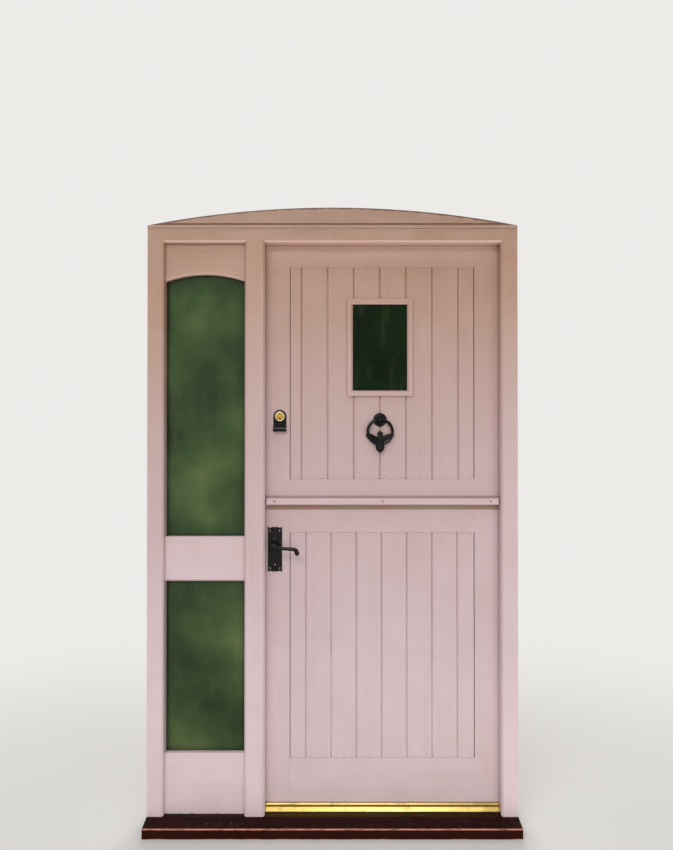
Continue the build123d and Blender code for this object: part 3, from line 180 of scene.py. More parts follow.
# %% [markdown]
# The last step of each finish joins the colour and the roughness to the shader. What is the same all over
# the surface, such as how much a metal it is, is a plain value on the shader's own socket. Bumps are stacked:
# each one bends the normal that the one before it gives.

# %% Helpers for the shader
def finish_with(tree, shader, colour, rough, fixed=None):
    """Joins colour and roughness to the shader, and sets its other sockets to plain values."""
    tree.links.new(colour, shader.inputs["Base Color"])
    tree.links.new(rough, shader.inputs["Roughness"])
    for socket, value in (fixed or {}).items():
        shader.inputs[socket].default_value = value


def dents(tree, shader, *heights):
    """Stacks bumps on a shader: each is (height socket, depth in metres, strength)."""
    normal = None
    for height, depth, strength in heights:
        settings = {"Height": height, "Distance": depth, "Strength": strength}
        if normal is not None:
            settings["Normal"] = normal
        normal = add(tree, "ShaderNodeBump", settings).outputs["Normal"]
    tree.links.new(normal, shader.inputs["Normal"])


print("helpers for the shader ready")

# %% [markdown]
# A mask needs to know where a point lies. These helpers read its place along one axis, its distance from an
# axis that runs into the wall, the nearest of many scattered points, and how closed in it is. Corners are
# darker on most old finishes, because nobody wipes them, so one helper blends a tone into them.

# %% Helpers for masks
def axis_of(tree, letter):
    where = add(tree, "ShaderNodeTexCoord").outputs["Object"]
    return add(tree, "ShaderNodeSeparateXYZ", {"Vector": where}).outputs[letter]


def band(tree, letter, low, high, to_low=0.0, to_high=1.0):
    """A mask by place: from to_low to to_high as X, Y or Z goes from low to high, in metres."""
    return between(tree, axis_of(tree, letter), low, high, to_low, to_high)


def reach_about(tree, x, z):
    """Distance from the axis that runs along Y through x and z, in metres."""
    middle = place(tree, shift=(-x, 0, -z))
    flat = add(tree, "ShaderNodeVectorMath", {0: middle, 1: (1, 0, 1)}, operation="MULTIPLY")
    across = {0: flat.outputs["Vector"]}
    return add(tree, "ShaderNodeVectorMath", across, operation="LENGTH").outputs["Value"]


def grains(tree, scale):
    """Distance to the nearest of many scattered points, which is small in round specks."""
    settings = {"Vector": place(tree), "Scale": scale, "Randomness": 1.0}
    return add(tree, "ShaderNodeTexVoronoi", settings).outputs["Distance"]


def openness(tree, distance):
    """How open a point is to what lies within a distance: 0 in a tight corner, 1 on a free face."""
    return add(tree, "ShaderNodeAmbientOcclusion", {"Distance": distance}, samples=8).outputs["AO"]


def dark_corners(tree, colour, tone, reach, closed, free, most):
    """Blends a tone into corners: most of it where a point is closed in, none where it is free."""
    return blend(tree, between(tree, openness(tree, reach), closed, free, most, 0.0), colour, tone)


print("helpers for masks ready")

# %% [markdown]
# ## The pink paint
# The joinery has several brushed coats of a dusty pink. High up it is darker, warmer and browner, and near
# the ground a cooler, paler pink: partly weathering, and partly painted shade that falls high up. A ramp on
# the height gives that change, and slow clouds keep it from looking even.
# Brush strokes and grain follow the wood: upright on jambs, stiles and boards, level on rails. So the paint
# takes the direction of its strokes as an argument.

# %% Paint tones
# Tones by height; the darker, browner top is partly weathering and partly painted shade.
PAINT_AND_SHADE_BY_HEIGHT = (
    (0.00, screen(232, 210, 214)),
    (0.16, screen(227, 205, 210)),
    (0.32, screen(214, 191, 197)),
    (0.50, screen(202, 176, 179)),
    (0.64, screen(192, 163, 160)),
    (0.78, screen(178, 143, 127)),
    (0.90, screen(165, 124, 99)),
    (1.00, screen(144, 108, 82)),
)
TOP_OF_DOOR = 2.15
CLOUDED_PINK = screen(193, 168, 158)
STROKE_PINK = screen(228, 208, 208)
GRAIN_BROWN = screen(170, 138, 130)
STROKES_ALONG = {"Z": (170, 170, 5), "X": (5, 170, 170)}
GRAIN_ALONG = {"Z": (34, 34, 1.3), "X": (1.3, 34, 34)}


def brushed_coats(tree, along):
    """The pink by height, clouded, with brush strokes and the wood's grain along Z or X."""
    height = band(tree, "Z", 0.0, TOP_OF_DOOR)
    wander = clouds(tree, 1.7, 3.0, shift=(3.1, 0.4, 1.7))
    height = maths(tree, "ADD", height, between(tree, wander, 0.3, 0.7, -0.05, 0.05))
    colour = ramp(tree, height, PAINT_AND_SHADE_BY_HEIGHT)
    patches = clouds(tree, 9.0, 5.0)
    colour = blend(tree, between(tree, patches, 0.35, 0.75, 0.0, 0.22), colour, CLOUDED_PINK)
    strokes = clouds(tree, 1.0, 5.0, 0.6, STROKES_ALONG[along])
    colour = blend(tree, between(tree, strokes, 0.3, 0.7, 0.0, 0.10), colour, STROKE_PINK)
    grain = clouds(tree, 1.0, 6.0, 0.7, GRAIN_ALONG[along], (0.7, 0.2, 0.9))
    colour = blend(tree, between(tree, grain, 0.52, 0.8, 0.0, 0.22), colour, GRAIN_BROWN)
    return colour, patches, strokes, grain


print("paint tones from the sill to the arch:", len(PAINT_AND_SHADE_BY_HEIGHT))

# %% [markdown]
# ### What weather and use have done to it, and painted light and shade
# Each trace is laid over the colour by a mask. Edges that look down, and the top of the leaf close below the
# head, are painted paler: painted light that fills the shade there. The set-back leaf is painted a little
# darker: painted shade. Water runs off the ledge along the top leaf's foot and stains the wood below it, and
# the brown band there is partly that stain and partly painted shade under the ledge. The ledge's sloping top
# is darkened, partly by dirt and partly as painted shade. The joints and corners are darkened by an Ambient
# Occlusion node, which sees how closed in a point is: partly dirt, partly painted shade. Feet and wet have
# bared the wood at the feet of the posts.
# A mask by place reads the Object coordinates, and one by slope reads the surface's normal.

# %% Painted light and shade, and water stains
# Painted light: a paler pink on edges that look down and on the leaf close below the head.
PAINTED_LIGHT_PINK = screen(240, 202, 188)
# Painted shade: a darker tone for the leaf, which is set back behind the frame.
LEAF_SHADE = screen(150, 118, 116)
# Painted light: a paler pink for a rail that lies in shade.
PAINTED_LIGHT_PALE = screen(247, 228, 233)
# Under the ledge: partly water stain, partly painted shade.
STAIN_AND_SHADE_BROWN = screen(148, 106, 86)
STAIN_AND_SHADE_GREEN = screen(138, 118, 92)
# Dirt and painted shade: for the joints, the ledge's top and the nail heads.
JOINT_DIRT_AND_SHADE = screen(118, 88, 84)
LEAF_DEPTH = (0.036, 0.046)
LEAF_FRONT = (0.044, 0.046)
BEHIND_FRONT = (0.060, 0.080)
BEHIND_STAIN = (0.060, 0.070)
UPPER_HALF = (1.2, 2.0)
BELOW_HEAD = (1.940, 2.005)
CLOSE_BELOW_HEAD = (2.000, 2.016)
STAIN_FOOT = (1.0935, 1.0990)
STAIN_HEAD = (1.1136, 1.1142)
LEDGE_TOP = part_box("weather_ledge")[1].z
LEDGE_SLOPE_FOOT = (LEDGE_TOP - 0.0100, LEDGE_TOP - 0.0080)
LEDGE_SLOPE_HEAD = (LEDGE_TOP + 0.0008, LEDGE_TOP + 0.0020)


def facing_up(tree):
    """The slope of the surface: 1 where it looks up, -1 where it looks down."""
    normal = add(tree, "ShaderNodeNewGeometry").outputs["Normal"]
    return add(tree, "ShaderNodeSeparateXYZ", {"Vector": normal}).outputs["Z"]


def painted_light_and_shade(tree, colour, lit_share):
    """Painted light on down-facing edges and close below the head, painted shade on the set-back leaf, and a
    paler pink by a given share of painted light.
    """
    # Down-facing edges in the upper half are painted paler: painted light from below.
    down = between(tree, facing_up(tree), -0.35, -0.65)
    upper = band(tree, "Z", *UPPER_HALF, 0.0, 0.9)
    colour = blend(tree, times(tree, down, upper), colour, PAINTED_LIGHT_PINK)
    colour = blend(tree, band(tree, "Y", *LEAF_DEPTH, 0.0, 0.14), colour, LEAF_SHADE)
    # Close below the head the leaf is painted paler: painted light in place of the head's shadow.
    lit_below_head = maths(tree, "ADD", band(tree, "Z", *BELOW_HEAD, 0.0, 0.20),
                    band(tree, "Z", *CLOSE_BELOW_HEAD, 0.0, 0.22))
    outer = times(tree, band(tree, "Y", *LEAF_DEPTH), band(tree, "Y", *BEHIND_FRONT, 1.0, 0.0))
    colour = blend(tree, times(tree, lit_below_head, outer), colour, PAINTED_LIGHT_PINK)
    return blend(tree, lit_share, colour, PAINTED_LIGHT_PALE) if lit_share else colour


def ledge_stains_and_shade(tree, colour):
    """Brown and green water stains with painted shade under the ledge, and dirt with painted shade on its
    top.
    """
    below = times(tree, band(tree, "Z", *STAIN_FOOT), band(tree, "Z", *STAIN_HEAD, 1.0, 0.0))
    outer = times(tree, band(tree, "Y", *LEAF_FRONT), band(tree, "Y", *BEHIND_STAIN, 1.0, 0.0))
    tones = blend(tree, between(tree, clouds(tree, 8.0, 3.0), 0.5, 0.6), STAIN_AND_SHADE_BROWN, STAIN_AND_SHADE_GREEN)
    colour = blend(tree, times(tree, below, outer, 0.85), colour, tones)
    # The ledge's sloping top is darkened: partly dirt, partly painted shade.
    on_ledge = times(tree, band(tree, "Z", *LEDGE_SLOPE_FOOT), band(tree, "Z", *LEDGE_SLOPE_HEAD, 1.0, 0.0))
    level = between(tree, facing_up(tree), 0.5, 0.8)
    return blend(tree, times(tree, on_ledge, level, 0.52), colour, JOINT_DIRT_AND_SHADE)


print("the ledge's top in mm:", round(1000 * LEDGE_TOP, 1))

# %% Traces of dirt and use, with painted shade in the joints
JOINT_REACH = 0.008
DUST_FLECK = screen(126, 100, 92)
BARE_WOOD = screen(150, 88, 50)
POST_FOOT = (0.0425, 0.0490)


def dirt_shade_and_wear(tree, colour):
    """Dirt and painted shade in the joints, a few dust flecks, and bare wood at the feet of the posts."""
    # Ambient Occlusion darkens joints and corners: partly dirt, partly painted shade.
    dirt_and_shade = between(tree, openness(tree, JOINT_REACH), 0.22, 0.66, 0.95, 0.0, smooth=True)
    dirt_and_shade = times(tree, dirt_and_shade, between(tree, clouds(tree, 30.0, 3.0), 0.2, 0.7, 0.65, 1.0))
    colour = blend(tree, dirt_and_shade, colour, JOINT_DIRT_AND_SHADE)
    fleck = between(tree, grains(tree, 34.0), 0.02, 0.045, 1.0, 0.0)
    rare = between(tree, clouds(tree, 26.0, 2.0, shift=(1.3, 2.2, 0.5)), 0.60, 0.64)
    colour = blend(tree, times(tree, fleck, rare, 0.55), colour, DUST_FLECK)
    foot = band(tree, "Z", *POST_FOOT, 1.0, 0.0)
    worn = between(tree, clouds(tree, 46.0, 4.0), 0.57, 0.66)
    return blend(tree, times(tree, foot, worn), colour, BARE_WOOD)


print("feet of the posts in mm:", [round(1000 * z, 1) for z in POST_FOOT])

# %% [markdown]
# ### Two traces at the head
# The arched board still carries old brown sealant along its upper edge. Its edge is an arc of a circle, so
# the mask is the distance from that circle's centre. Along the foot of the strip over the head the paint has
# split: broken into short lines on the left, and one solid line towards the right.

# %% Sealant and split
OLD_SEALANT = screen(92, 58, 42)
CRACK_BROWN = screen(112, 74, 62)
CRACK_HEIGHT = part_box("head_cover_strip")[0].z - 0.0016
SOLID_FROM = (0.10, 0.30)
ARCH_LOW, ARCH_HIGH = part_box("arch_board")
ARCH_HALF = (ARCH_HIGH.x - ARCH_LOW.x) / 2
ARCH_RISE = 0.060
ARCH_RADIUS = (ARCH_HALF ** 2 + ARCH_RISE ** 2) / (2 * ARCH_RISE)
ARCH_CENTRE_HEIGHT = ARCH_HIGH.z - ARCH_RADIUS
SEALANT_BAND = (ARCH_RADIUS - 0.0062, ARCH_RADIUS - 0.0040)


def sealant_rim(tree, colour):
    """Old sealant along the arched board's upper edge, with a ragged border."""
    reach = reach_about(tree, 0, ARCH_CENTRE_HEIGHT)
    wavy = between(tree, clouds(tree, 40.0, 4.0), 0.3, 0.7, -0.0025, 0.0025)
    rim = between(tree, maths(tree, "ADD", reach, wavy), *SEALANT_BAND)
    return blend(tree, times(tree, rim, 0.9), colour, OLD_SEALANT)


def crack_under_strip(tree):
    """A thin wavy line where the paint has split along the foot of the cover strip."""
    wobble = between(tree, clouds(tree, 24.0, 3.0, stretch=(1, 0, 0)), 0.3, 0.7, -0.0012, 0.0012)
    line = maths(tree, "ADD", maths(tree, "SUBTRACT", axis_of(tree, "Z"), CRACK_HEIGHT), wobble)
    line = between(tree, maths(tree, "ABSOLUTE", line, 0.0), 0.0001, 0.0011, 0.9, 0.0)
    gaps = between(tree, clouds(tree, 7.0, 3.0, stretch=(1, 0, 0), shift=(0.7, 0, 0)), 0.48, 0.56)
    solid = band(tree, "X", *SOLID_FROM)
    return times(tree, line, maths(tree, "MAXIMUM", gaps, solid))


print("the arched edge's radius in mm:", round(1000 * ARCH_RADIUS))

# %% [markdown]
# ### The paint itself
# One function lays the coats first and then the traces. Six paints come from it: upright and level, one each
# for the arched board and the head, a darker one for the nail heads, which is painted shade in their small
# hollows, and a paler one for the sidelight's middle rail, which is painted light on a rail that lies in
# shade.

# %% Paint
def paint(name, along, shade=1.0, lit_share=0.0, arched=False, cracked=False):
    material, tree, shader = finish_named(name)
    colour, patches, strokes, grain = brushed_coats(tree, along)
    colour = painted_light_and_shade(tree, colour, lit_share)
    colour = ledge_stains_and_shade(tree, colour)
    colour = dirt_shade_and_wear(tree, colour)
    # Painted shade: darker by the given share.
    if shade < 1.0:
        colour = blend(tree, 1.0 - shade, colour, JOINT_DIRT_AND_SHADE)
    if arched:
        colour = sealant_rim(tree, colour)
    if cracked:
        colour = blend(tree, crack_under_strip(tree), colour, CRACK_BROWN)
    finish_with(tree, shader, colour, between(tree, patches, 0.3, 0.7, 0.38, 0.52))
    waves = clouds(tree, 7.0, 2.0)
    dents(tree, shader, (waves, 0.004, 0.10), (grain, 0.0008, 0.22), (strokes, 0.00035, 0.35))
    return material


paint_upright = paint("pink_paint_upright", "Z")
paint_level = paint("pink_paint_level", "X")
paint_arch = paint("pink_paint_arched", "X", arched=True)
paint_head = paint("pink_paint_head", "X", cracked=True)
# The nail heads are painted darker: painted shade in their small hollows.
paint_pins = paint("pink_paint_over_pins", "Z", shade=0.30)
# Painted light: the sidelight's middle rail is painted paler than the rest.
paint_lit_rail = paint("pink_paint_lit_rail", "X", lit_share=0.15)
print("paints:", paint_upright.name, paint_level.name, paint_pins.name)

# %% [markdown]
# ## The hardwood sill
# The sill is a dark red-brown hardwood under gloss varnish. Feet have worn the varnish from the nosing and
# here and there from the lower edge, where a light copper red is laid on: partly bare wood and partly a
# painted highlight along the rounded edges. The front face between them is browner, with streaks along the
# grain. Pale dust lies on top in small specks and crumbs.
# Masks made from the Y and Z of the Object coordinates put each look in its place. The varnish is set to a
# low IOR, because a dark gloss that mirrors a pale studio would look grey.

# %% Sill varnish
SILL_DARK = screen(25, 7, 6)
SILL_RED = screen(50, 14, 9)
# Partly bare wood, partly a painted highlight on the rounded edges.
NOSING_WEAR_AND_HIGHLIGHT = screen(224, 154, 130)
FRONT_BROWN = screen(54, 20, 9)
PALE_DUST = screen(158, 142, 138)
SILL_FRONT = (-0.0585, -0.0555)
NOSING_FACE = (-0.0590, -0.0545)
NOSING_FOOT = (0.0300, 0.0318)
LOWER_ARRIS = (0.0012, 0.0026)
VARNISH_IOR = 1.14


def worn_and_highlit_edges(tree, colour):
    """Bare wood and a painted highlight along the nosing, and in places along the lower edge."""
    across = band(tree, "Y", *NOSING_FACE, 1.0, 0.0)
    broken = between(tree, clouds(tree, 1.0, 6.0, 0.75, (34, 160, 160)), 0.33, 0.54)
    worn = times(tree, across, band(tree, "Z", *NOSING_FOOT), broken)
    colour = blend(tree, worn, colour, NOSING_WEAR_AND_HIGHLIGHT)
    arris = times(tree, across, band(tree, "Z", *LOWER_ARRIS, 1.0, 0.0))
    rubbed = clouds(tree, 1.0, 6.0, 0.75, (12, 160, 160), (0.4, 0, 0))
    rubbed = between(tree, rubbed, 0.48, 0.58, 0.0, 0.6)
    return blend(tree, times(tree, arris, rubbed), colour, NOSING_WEAR_AND_HIGHLIGHT), worn


def dust_on_top(tree, colour, front):
    """Fine specks, larger crumbs and a thin film of pale dust, on the sill but not on its front."""
    on_top = maths(tree, "SUBTRACT", 1.0, front)
    dusty = between(tree, clouds(tree, 22.0, 4.0, shift=(0.2, 0.9, 0.1)), 0.52, 0.66)
    speck = between(tree, grains(tree, 210.0), 0.10, 0.22, 1.0, 0.0)
    speck = times(tree, speck, times(tree, dusty, on_top), 0.35)
    colour = blend(tree, speck, colour, PALE_DUST)
    crumb = between(tree, grains(tree, 95.0), 0.12, 0.18, 1.0, 0.0)
    strewn = between(tree, clouds(tree, 9.0, 4.0, shift=(0.8, 0.1, 0.5)), 0.54, 0.62, 0.0, 0.7)
    colour = blend(tree, times(tree, crumb, times(tree, strewn, on_top)), colour, PALE_DUST)
    film = between(tree, clouds(tree, 6.0, 5.0, shift=(2.0, 0.3, 0.6)), 0.45, 0.75, 0.0, 0.004)
    return blend(tree, film, colour, PALE_DUST), speck


def sill_varnish():
    material, tree, shader = finish_named("sill_varnish")
    streaks = clouds(tree, 1.0, 6.0, 0.65, (5, 120, 120))
    fine = clouds(tree, 1.0, 4.0, 0.7, (22, 420, 420), (0.3, 0.1, 0.8))
    colour = blend(tree, between(tree, streaks, 0.35, 0.72), SILL_DARK, SILL_RED)
    front = band(tree, "Y", *SILL_FRONT, 1.0, 0.0)
    browner = blend(tree, between(tree, fine, 0.35, 0.65), SILL_RED, FRONT_BROWN)
    colour = blend(tree, times(tree, front, 0.7), colour, browner)
    colour, worn = worn_and_highlit_edges(tree, colour)
    colour, speck = dust_on_top(tree, colour, front)
    dull = maths(tree, "ADD", between(tree, streaks, 0.3, 0.7, 0.22, 0.38), times(tree, worn, 0.25))
    dull = maths(tree, "ADD", dull, times(tree, speck, 0.5))
    finish_with(tree, shader, colour, dull, {"IOR": VARNISH_IOR})
    dents(tree, shader, (streaks, 0.0012, 0.25), (fine, 0.0004, 0.3), (speck, 0.0004, 0.3))
    return material


sill_finish = sill_varnish()
print("sill:", sill_finish.name)

# %% [markdown]
# ## Brass
# The threshold bar is bright where feet rub it and dull in its groove. Towards its right end it has gone a
# dirty green-brown. The cylinder and its plug are an older, darker brass with fine turning marks, and fingers
# have rubbed the cylinder's rim bright. The levers inside the lock are painted almost black, as painted shade
# inside the lock, so that a keyhole looks dark without a hole right through the door.
# One function makes them all: streaks along a given direction for the polish marks, and a tarnish that takes
# both the colour and the shine away.

# %% Brass
BRIGHT_BRASS = screen(246, 214, 124)
OLD_BRASS = screen(190, 158, 84)
RUBBED_BRASS = screen(246, 224, 176)
SATIN_BRASS = screen(200, 172, 112)
TARNISH = screen(104, 84, 46)
# Painted shade: near-black brass for parts that sit in the lock's shade.
SHADE_DARK_BRASS = screen(22, 16, 11)
CORNER_BROWN = screen(48, 36, 20)
TURNING_PITCH = 0.0021
CYLINDER_X, CYLINDER_Z = -186.0, 1425.5
CYLINDER_AXIS = (CYLINDER_X / 1000, CYLINDER_Z / 1000)
DIRTY_END = (0.26, 0.52)


def brass(name, clean, polish_marks, shine, dirty, at_right_end=False, turned_about=None):
    material, tree, shader = finish_named(name)
    marks = clouds(tree, 1.0, 5.0, 0.7, polish_marks)
    if turned_about:
        wave = times(tree, reach_about(tree, *turned_about), 2 * math.pi / TURNING_PITCH)
        wave = between(tree, maths(tree, "SINE", wave, 0.0), -1.0, 1.0, 0.0, 0.3)
        marks = maths(tree, "ADD", times(tree, marks, 0.7), wave)
    stain_scale = 130.0 if turned_about else 24.0
    stains = clouds(tree, stain_scale, 6.0, 0.65, shift=(0.6, 0.2, 0.4))
    amount = between(tree, stains, 0.62 - dirty * 0.25, 0.86 - dirty * 0.25)
    if at_right_end:
        patchy = between(tree, clouds(tree, 16.0, 6.0, 0.7), 0.30, 0.62, 0.25, 1.0)
        end = times(tree, band(tree, "X", *DIRTY_END, 0.0, 0.75), patchy)
        amount = maths(tree, "MAXIMUM", amount, end)
    colour = blend(tree, between(tree, marks, 0.35, 0.7, 0.0, 0.22), clean, TARNISH)
    colour = blend(tree, times(tree, amount, 0.85), colour, TARNISH)
    colour = dark_corners(tree, colour, CORNER_BROWN, 0.006, 0.3, 0.85, 0.8)
    rough = between(tree, marks, 0.3, 0.75, shine, shine + 0.14)
    rough = maths(tree, "ADD", rough, times(tree, amount, 0.30))
    finish_with(tree, shader, colour, rough, {"Metallic": 1.0})
    dents(tree, shader, (marks, 0.0001, 0.35), (stains, 0.0004, 0.15))
    return material


bar_brass = brass("threshold_brass", BRIGHT_BRASS, (4, 620, 620), 0.22, 0.35, at_right_end=True)
cylinder_brass = brass("cylinder_brass", OLD_BRASS, (420, 420, 420), 0.34, 0.75, turned_about=CYLINDER_AXIS)
bright_brass = brass("rubbed_brass", RUBBED_BRASS, (420, 420, 420), 0.18, 0.0)
shaded_lever_brass = brass("shaded_lever_brass", SHADE_DARK_BRASS, (60, 700, 700), 0.55, 0.0)
bolt_brass = brass("bolt_brass", SATIN_BRASS, (60, 700, 700), 0.30, 0.35)
print("brasses:", bar_brass.name, cylinder_brass.name, bolt_brass.name)

# %% [markdown]
# ## Black iron
# The handle, the pull and the knocker are cast and hammered iron under a worn black finish: near black, with
# shallow dents, a fine cast grain and a soft shine. On the knocker, green patches are a painted reflection
# of green surroundings. Dents come from cells of a Voronoi texture whose distance is smoothed, which looks
# like marks of a hammer.

# %% Black iron
IRON_BLACK = screen(3, 2, 3)
IRON_BROWN = screen(24, 13, 13)
# Painted reflection: green patches for green surroundings mirrored in the knocker.
IRON_GREEN_REFLECTION = screen(10, 24, 16)
CAST_GREY = screen(22, 19, 21)
CORNER_BLACK = screen(5, 4, 5)


def black_iron(name, second, share, hammer, dented=0.35, shine=0.18, grainy=0.5, level=0.19):
    material, tree, shader = finish_named(name)
    patches = clouds(tree, 42.0, 5.0, 0.6)
    colour = blend(tree, between(tree, patches, 0.42, 0.72, 0.0, share), IRON_BLACK, second)
    cast = clouds(tree, 900.0, 3.0, 0.6)
    colour = blend(tree, between(tree, cast, 0.55, 0.8, 0.0, 0.35), colour, CAST_GREY)
    colour = dark_corners(tree, colour, CORNER_BLACK, 0.004, 0.3, 0.9, 0.7)
    rough = between(tree, patches, 0.3, 0.7, shine, shine + 0.12)
    finish_with(tree, shader, colour, rough, {"Specular IOR Level": level})
    cells = {"Vector": place(tree), "Scale": hammer, "Smoothness": 1.0, "Randomness": 0.9}
    marks = add(tree, "ShaderNodeTexVoronoi", cells, feature="SMOOTH_F1").outputs["Distance"]
    dents(tree, shader, (marks, 0.0012, dented), (cast, 0.0001, grainy))
    return material


handle_iron = black_iron("handle_iron", IRON_BROWN, 0.5, 150.0)
smooth_iron = black_iron("smooth_iron", IRON_BROWN, 0.3, 120.0, dented=0.08, shine=0.10, grainy=0.1,
                         level=0.28)
knocker_iron = black_iron("knocker_iron", IRON_GREEN_REFLECTION, 0.5, 260.0, dented=0.16, shine=0.12, grainy=0.2)
print("irons:", handle_iron.name, smooth_iron.name, knocker_iron.name)

# %% [markdown]
# ## Steel, a bead of painted shade, enamel and rubber
# The hinges, screws and the lock's case are plain zinc-plated steel, brushed and slightly stained. The night
# latch has a speckled bronze enamel. The seals are matt black rubber, and the dark brown bead over the head
# is painted shade: it stands for the shadowed gap there.

# %% Steel, shade bead, enamel and rubber
def plated_steel(name, shine=0.30):
    material, tree, shader = finish_named(name)
    brushed = clouds(tree, 1.0, 5.0, 0.7, (600, 600, 14))
    stains = clouds(tree, 30.0, 5.0)
    colour = blend(tree, between(tree, brushed, 0.3, 0.7), screen(168, 166, 160), screen(204, 202, 198))
    colour = blend(tree, between(tree, stains, 0.56, 0.74, 0.0, 0.5), colour, screen(120, 96, 74))
    rough = between(tree, brushed, 0.3, 0.7, shine, shine + 0.16)
    finish_with(tree, shader, colour, rough, {"Metallic": 1.0})
    dents(tree, shader, (brushed, 0.0001, 0.4), (stains, 0.0003, 0.15))
    return material


# Painted shade: a dark brown finish for the bead that stands for the shadowed gap over the head.
def shadow_gap_bead():
    material, tree, shader = finish_named("shadow_gap_bead")
    bead_pattern = clouds(tree, 90.0, 5.0, 0.65, (0.3, 1, 1))
    colour = blend(tree, between(tree, bead_pattern, 0.35, 0.7), screen(84, 52, 38), screen(122, 82, 62))
    finish_with(tree, shader, colour, between(tree, bead_pattern, 0.3, 0.7, 0.62, 0.85))
    dents(tree, shader, (bead_pattern, 0.0015, 0.5))
    return material


def bronze_enamel():
    material, tree, shader = finish_named("bronze_enamel")
    flakes = add(tree, "ShaderNodeTexVoronoi", {"Vector": place(tree), "Scale": 900.0}).outputs["Color"]
    share = add(tree, "ShaderNodeSeparateColor", {"Color": flakes}).outputs[0]
    colour = blend(tree, share, screen(96, 74, 46), screen(146, 116, 74))
    worn = clouds(tree, 40.0, 4.0)
    colour = blend(tree, between(tree, worn, 0.60, 0.72, 0.0, 0.5), colour, screen(66, 52, 36))
    finish_with(tree, shader, colour, between(tree, worn, 0.3, 0.7, 0.34, 0.5), {"Metallic": 0.6})
    dents(tree, shader, (clouds(tree, 700.0, 3.0), 0.0002, 0.4))
    return material


def seal_rubber():
    material, tree, shader = finish_named("seal_rubber")
    grit = clouds(tree, 400.0, 4.0)
    colour = blend(tree, between(tree, grit, 0.35, 0.7), screen(30, 28, 28), screen(52, 49, 48))
    finish_with(tree, shader, colour, between(tree, grit, 0.3, 0.7, 0.66, 0.84))
    dents(tree, shader, (grit, 0.0003, 0.4))
    return material


steel_finish, bright_steel = plated_steel("plated_steel"), plated_steel("bright_steel", 0.06)
enamel_finish = bronze_enamel()
rubber_finish, shadow_gap_finish = seal_rubber(), shadow_gap_bead()
print("also:", steel_finish.name, enamel_finish.name, rubber_finish.name, shadow_gap_finish.name)

# %% [markdown]
# ## Glass
# From outside the panes look almost black, with a green cast, because it is much darker indoors than out. A
# plain see-through glass would show the pale studio instead, so the glass is painted a deep green that is
# nearly opaque: painted shade of the dark room behind it, with lighter clouds of painted reflection. It is
# very smooth, slightly wavy as drawn glass is, and darker where the frame closes it in.

# %% Glass
GREEN_CAST = (0.72, 1.0, 0.62, 1.0)
# Painted shade of the room and painted reflections, for each kind of pane.
WINDOW_SHADE_AND_REFLECTION = (screen(6, 16, 5), screen(14, 32, 10), screen(26, 48, 18))
SIDE_SHADE_AND_REFLECTION = (screen(24, 36, 18), screen(56, 76, 42), screen(98, 112, 68))
TONE_SPOTS = (0.30, 0.55, 0.80)
GLASS_FILM = screen(112, 120, 96)
GLASS_EDGE = screen(14, 15, 12)


def glass_painted_dark(name, tones, level, coat):
    material, tree, shader = finish_named(name)
    # The clouded tones are painted shade of the room and painted reflections.
    depth = clouds(tree, 3.2, 3.0, shift=(1.0, 0.3, 2.0))
    colour = ramp(tree, depth, tuple(zip(TONE_SPOTS, tones)))
    smears = clouds(tree, 1.0, 5.0, 0.6, (26, 26, 7))
    colour = blend(tree, between(tree, smears, 0.5, 0.8, 0.0, 0.12), colour, GLASS_FILM)
    colour = dark_corners(tree, colour, GLASS_EDGE, 0.03, 0.4, 0.9, 0.75)
    finish_with(tree, shader, colour, between(tree, smears, 0.4, 0.8, 0.03, 0.13), {
        "IOR": 1.36, "Specular IOR Level": level, "Specular Tint": GREEN_CAST,
        "Coat Weight": coat, "Coat Roughness": 0.02})
    dents(tree, shader, (clouds(tree, 7.0, 1.0), 0.006, 0.10))
    return material


window_glass = glass_painted_dark("window_glass", WINDOW_SHADE_AND_REFLECTION, 0.24, 0.0)
side_glass = glass_painted_dark("side_glass", SIDE_SHADE_AND_REFLECTION, 0.5, 0.12)
print("glass:", window_glass.name, side_glass.name)

# %% [markdown]
# ## A finish for each part of the frame
# A material goes into the object's own slot, so the CAD mesh itself stays as it is. A plain dictionary says
# which finish each node takes. What it leaves out is painted wood: rails, ledges and boards that lie level
# have the level strokes, and the rest the upright ones.

# %% Give each node its finish
FINISHES = {
    "sill": sill_finish, "threshold_bar": bar_brass, "frame_seal": rubber_finish,
    "sidelight_panes": side_glass, "window_pane": window_glass, "arch_board": paint_arch,
    "frame_head": paint_head, "sidelight_middle_rail": paint_lit_rail,
}
SHARED_FINISHES = (
    (paint_pins, ("top_leaf_pins", "bottom_leaf_pins")),
    (cylinder_brass, ("cylinder_body", "cylinder_plug")),
    (bolt_brass, ("latch_bolt", "dead_bolt", "night_latch_bolt", "night_latch_knob")),
    (enamel_finish, ("night_latch_case", "night_latch_keep")),
    (knocker_iron, ("knocker_boss", "knocker_ring", "knocker_striker")),
    (handle_iron, ("handle_plates", "outside_lever", "inside_lever", "cylinder_pull",
                   "barrel_bolt_case", "barrel_bolt_keep", "barrel_bolt_rod")),
    (steel_finish, ("hinge_frame_plates", "hinge_pins", "bottom_leaf_hinge_plates", "top_leaf_hinge_plates",
                    "frame_screws", "bottom_leaf_screws", "top_leaf_screws", "lock_case", "lock_keep",
                    "lock_follower", "handle_spindle")),
)
LEVEL_WORDS = ("rail", "head", "arch", "strip", "ledge")
for finish, names in SHARED_FINISHES:
    for name in names:
        FINISHES[name] = finish


def wear(piece, material):
    piece.data.materials.clear()
    piece.data.materials.append(material)


for name, node in nodes.items():
    level = any(word in name for word in LEVEL_WORDS)
    wear(node, FINISHES.get(name) or (paint_level if level else paint_upright))
print("finishes given:", len(nodes))

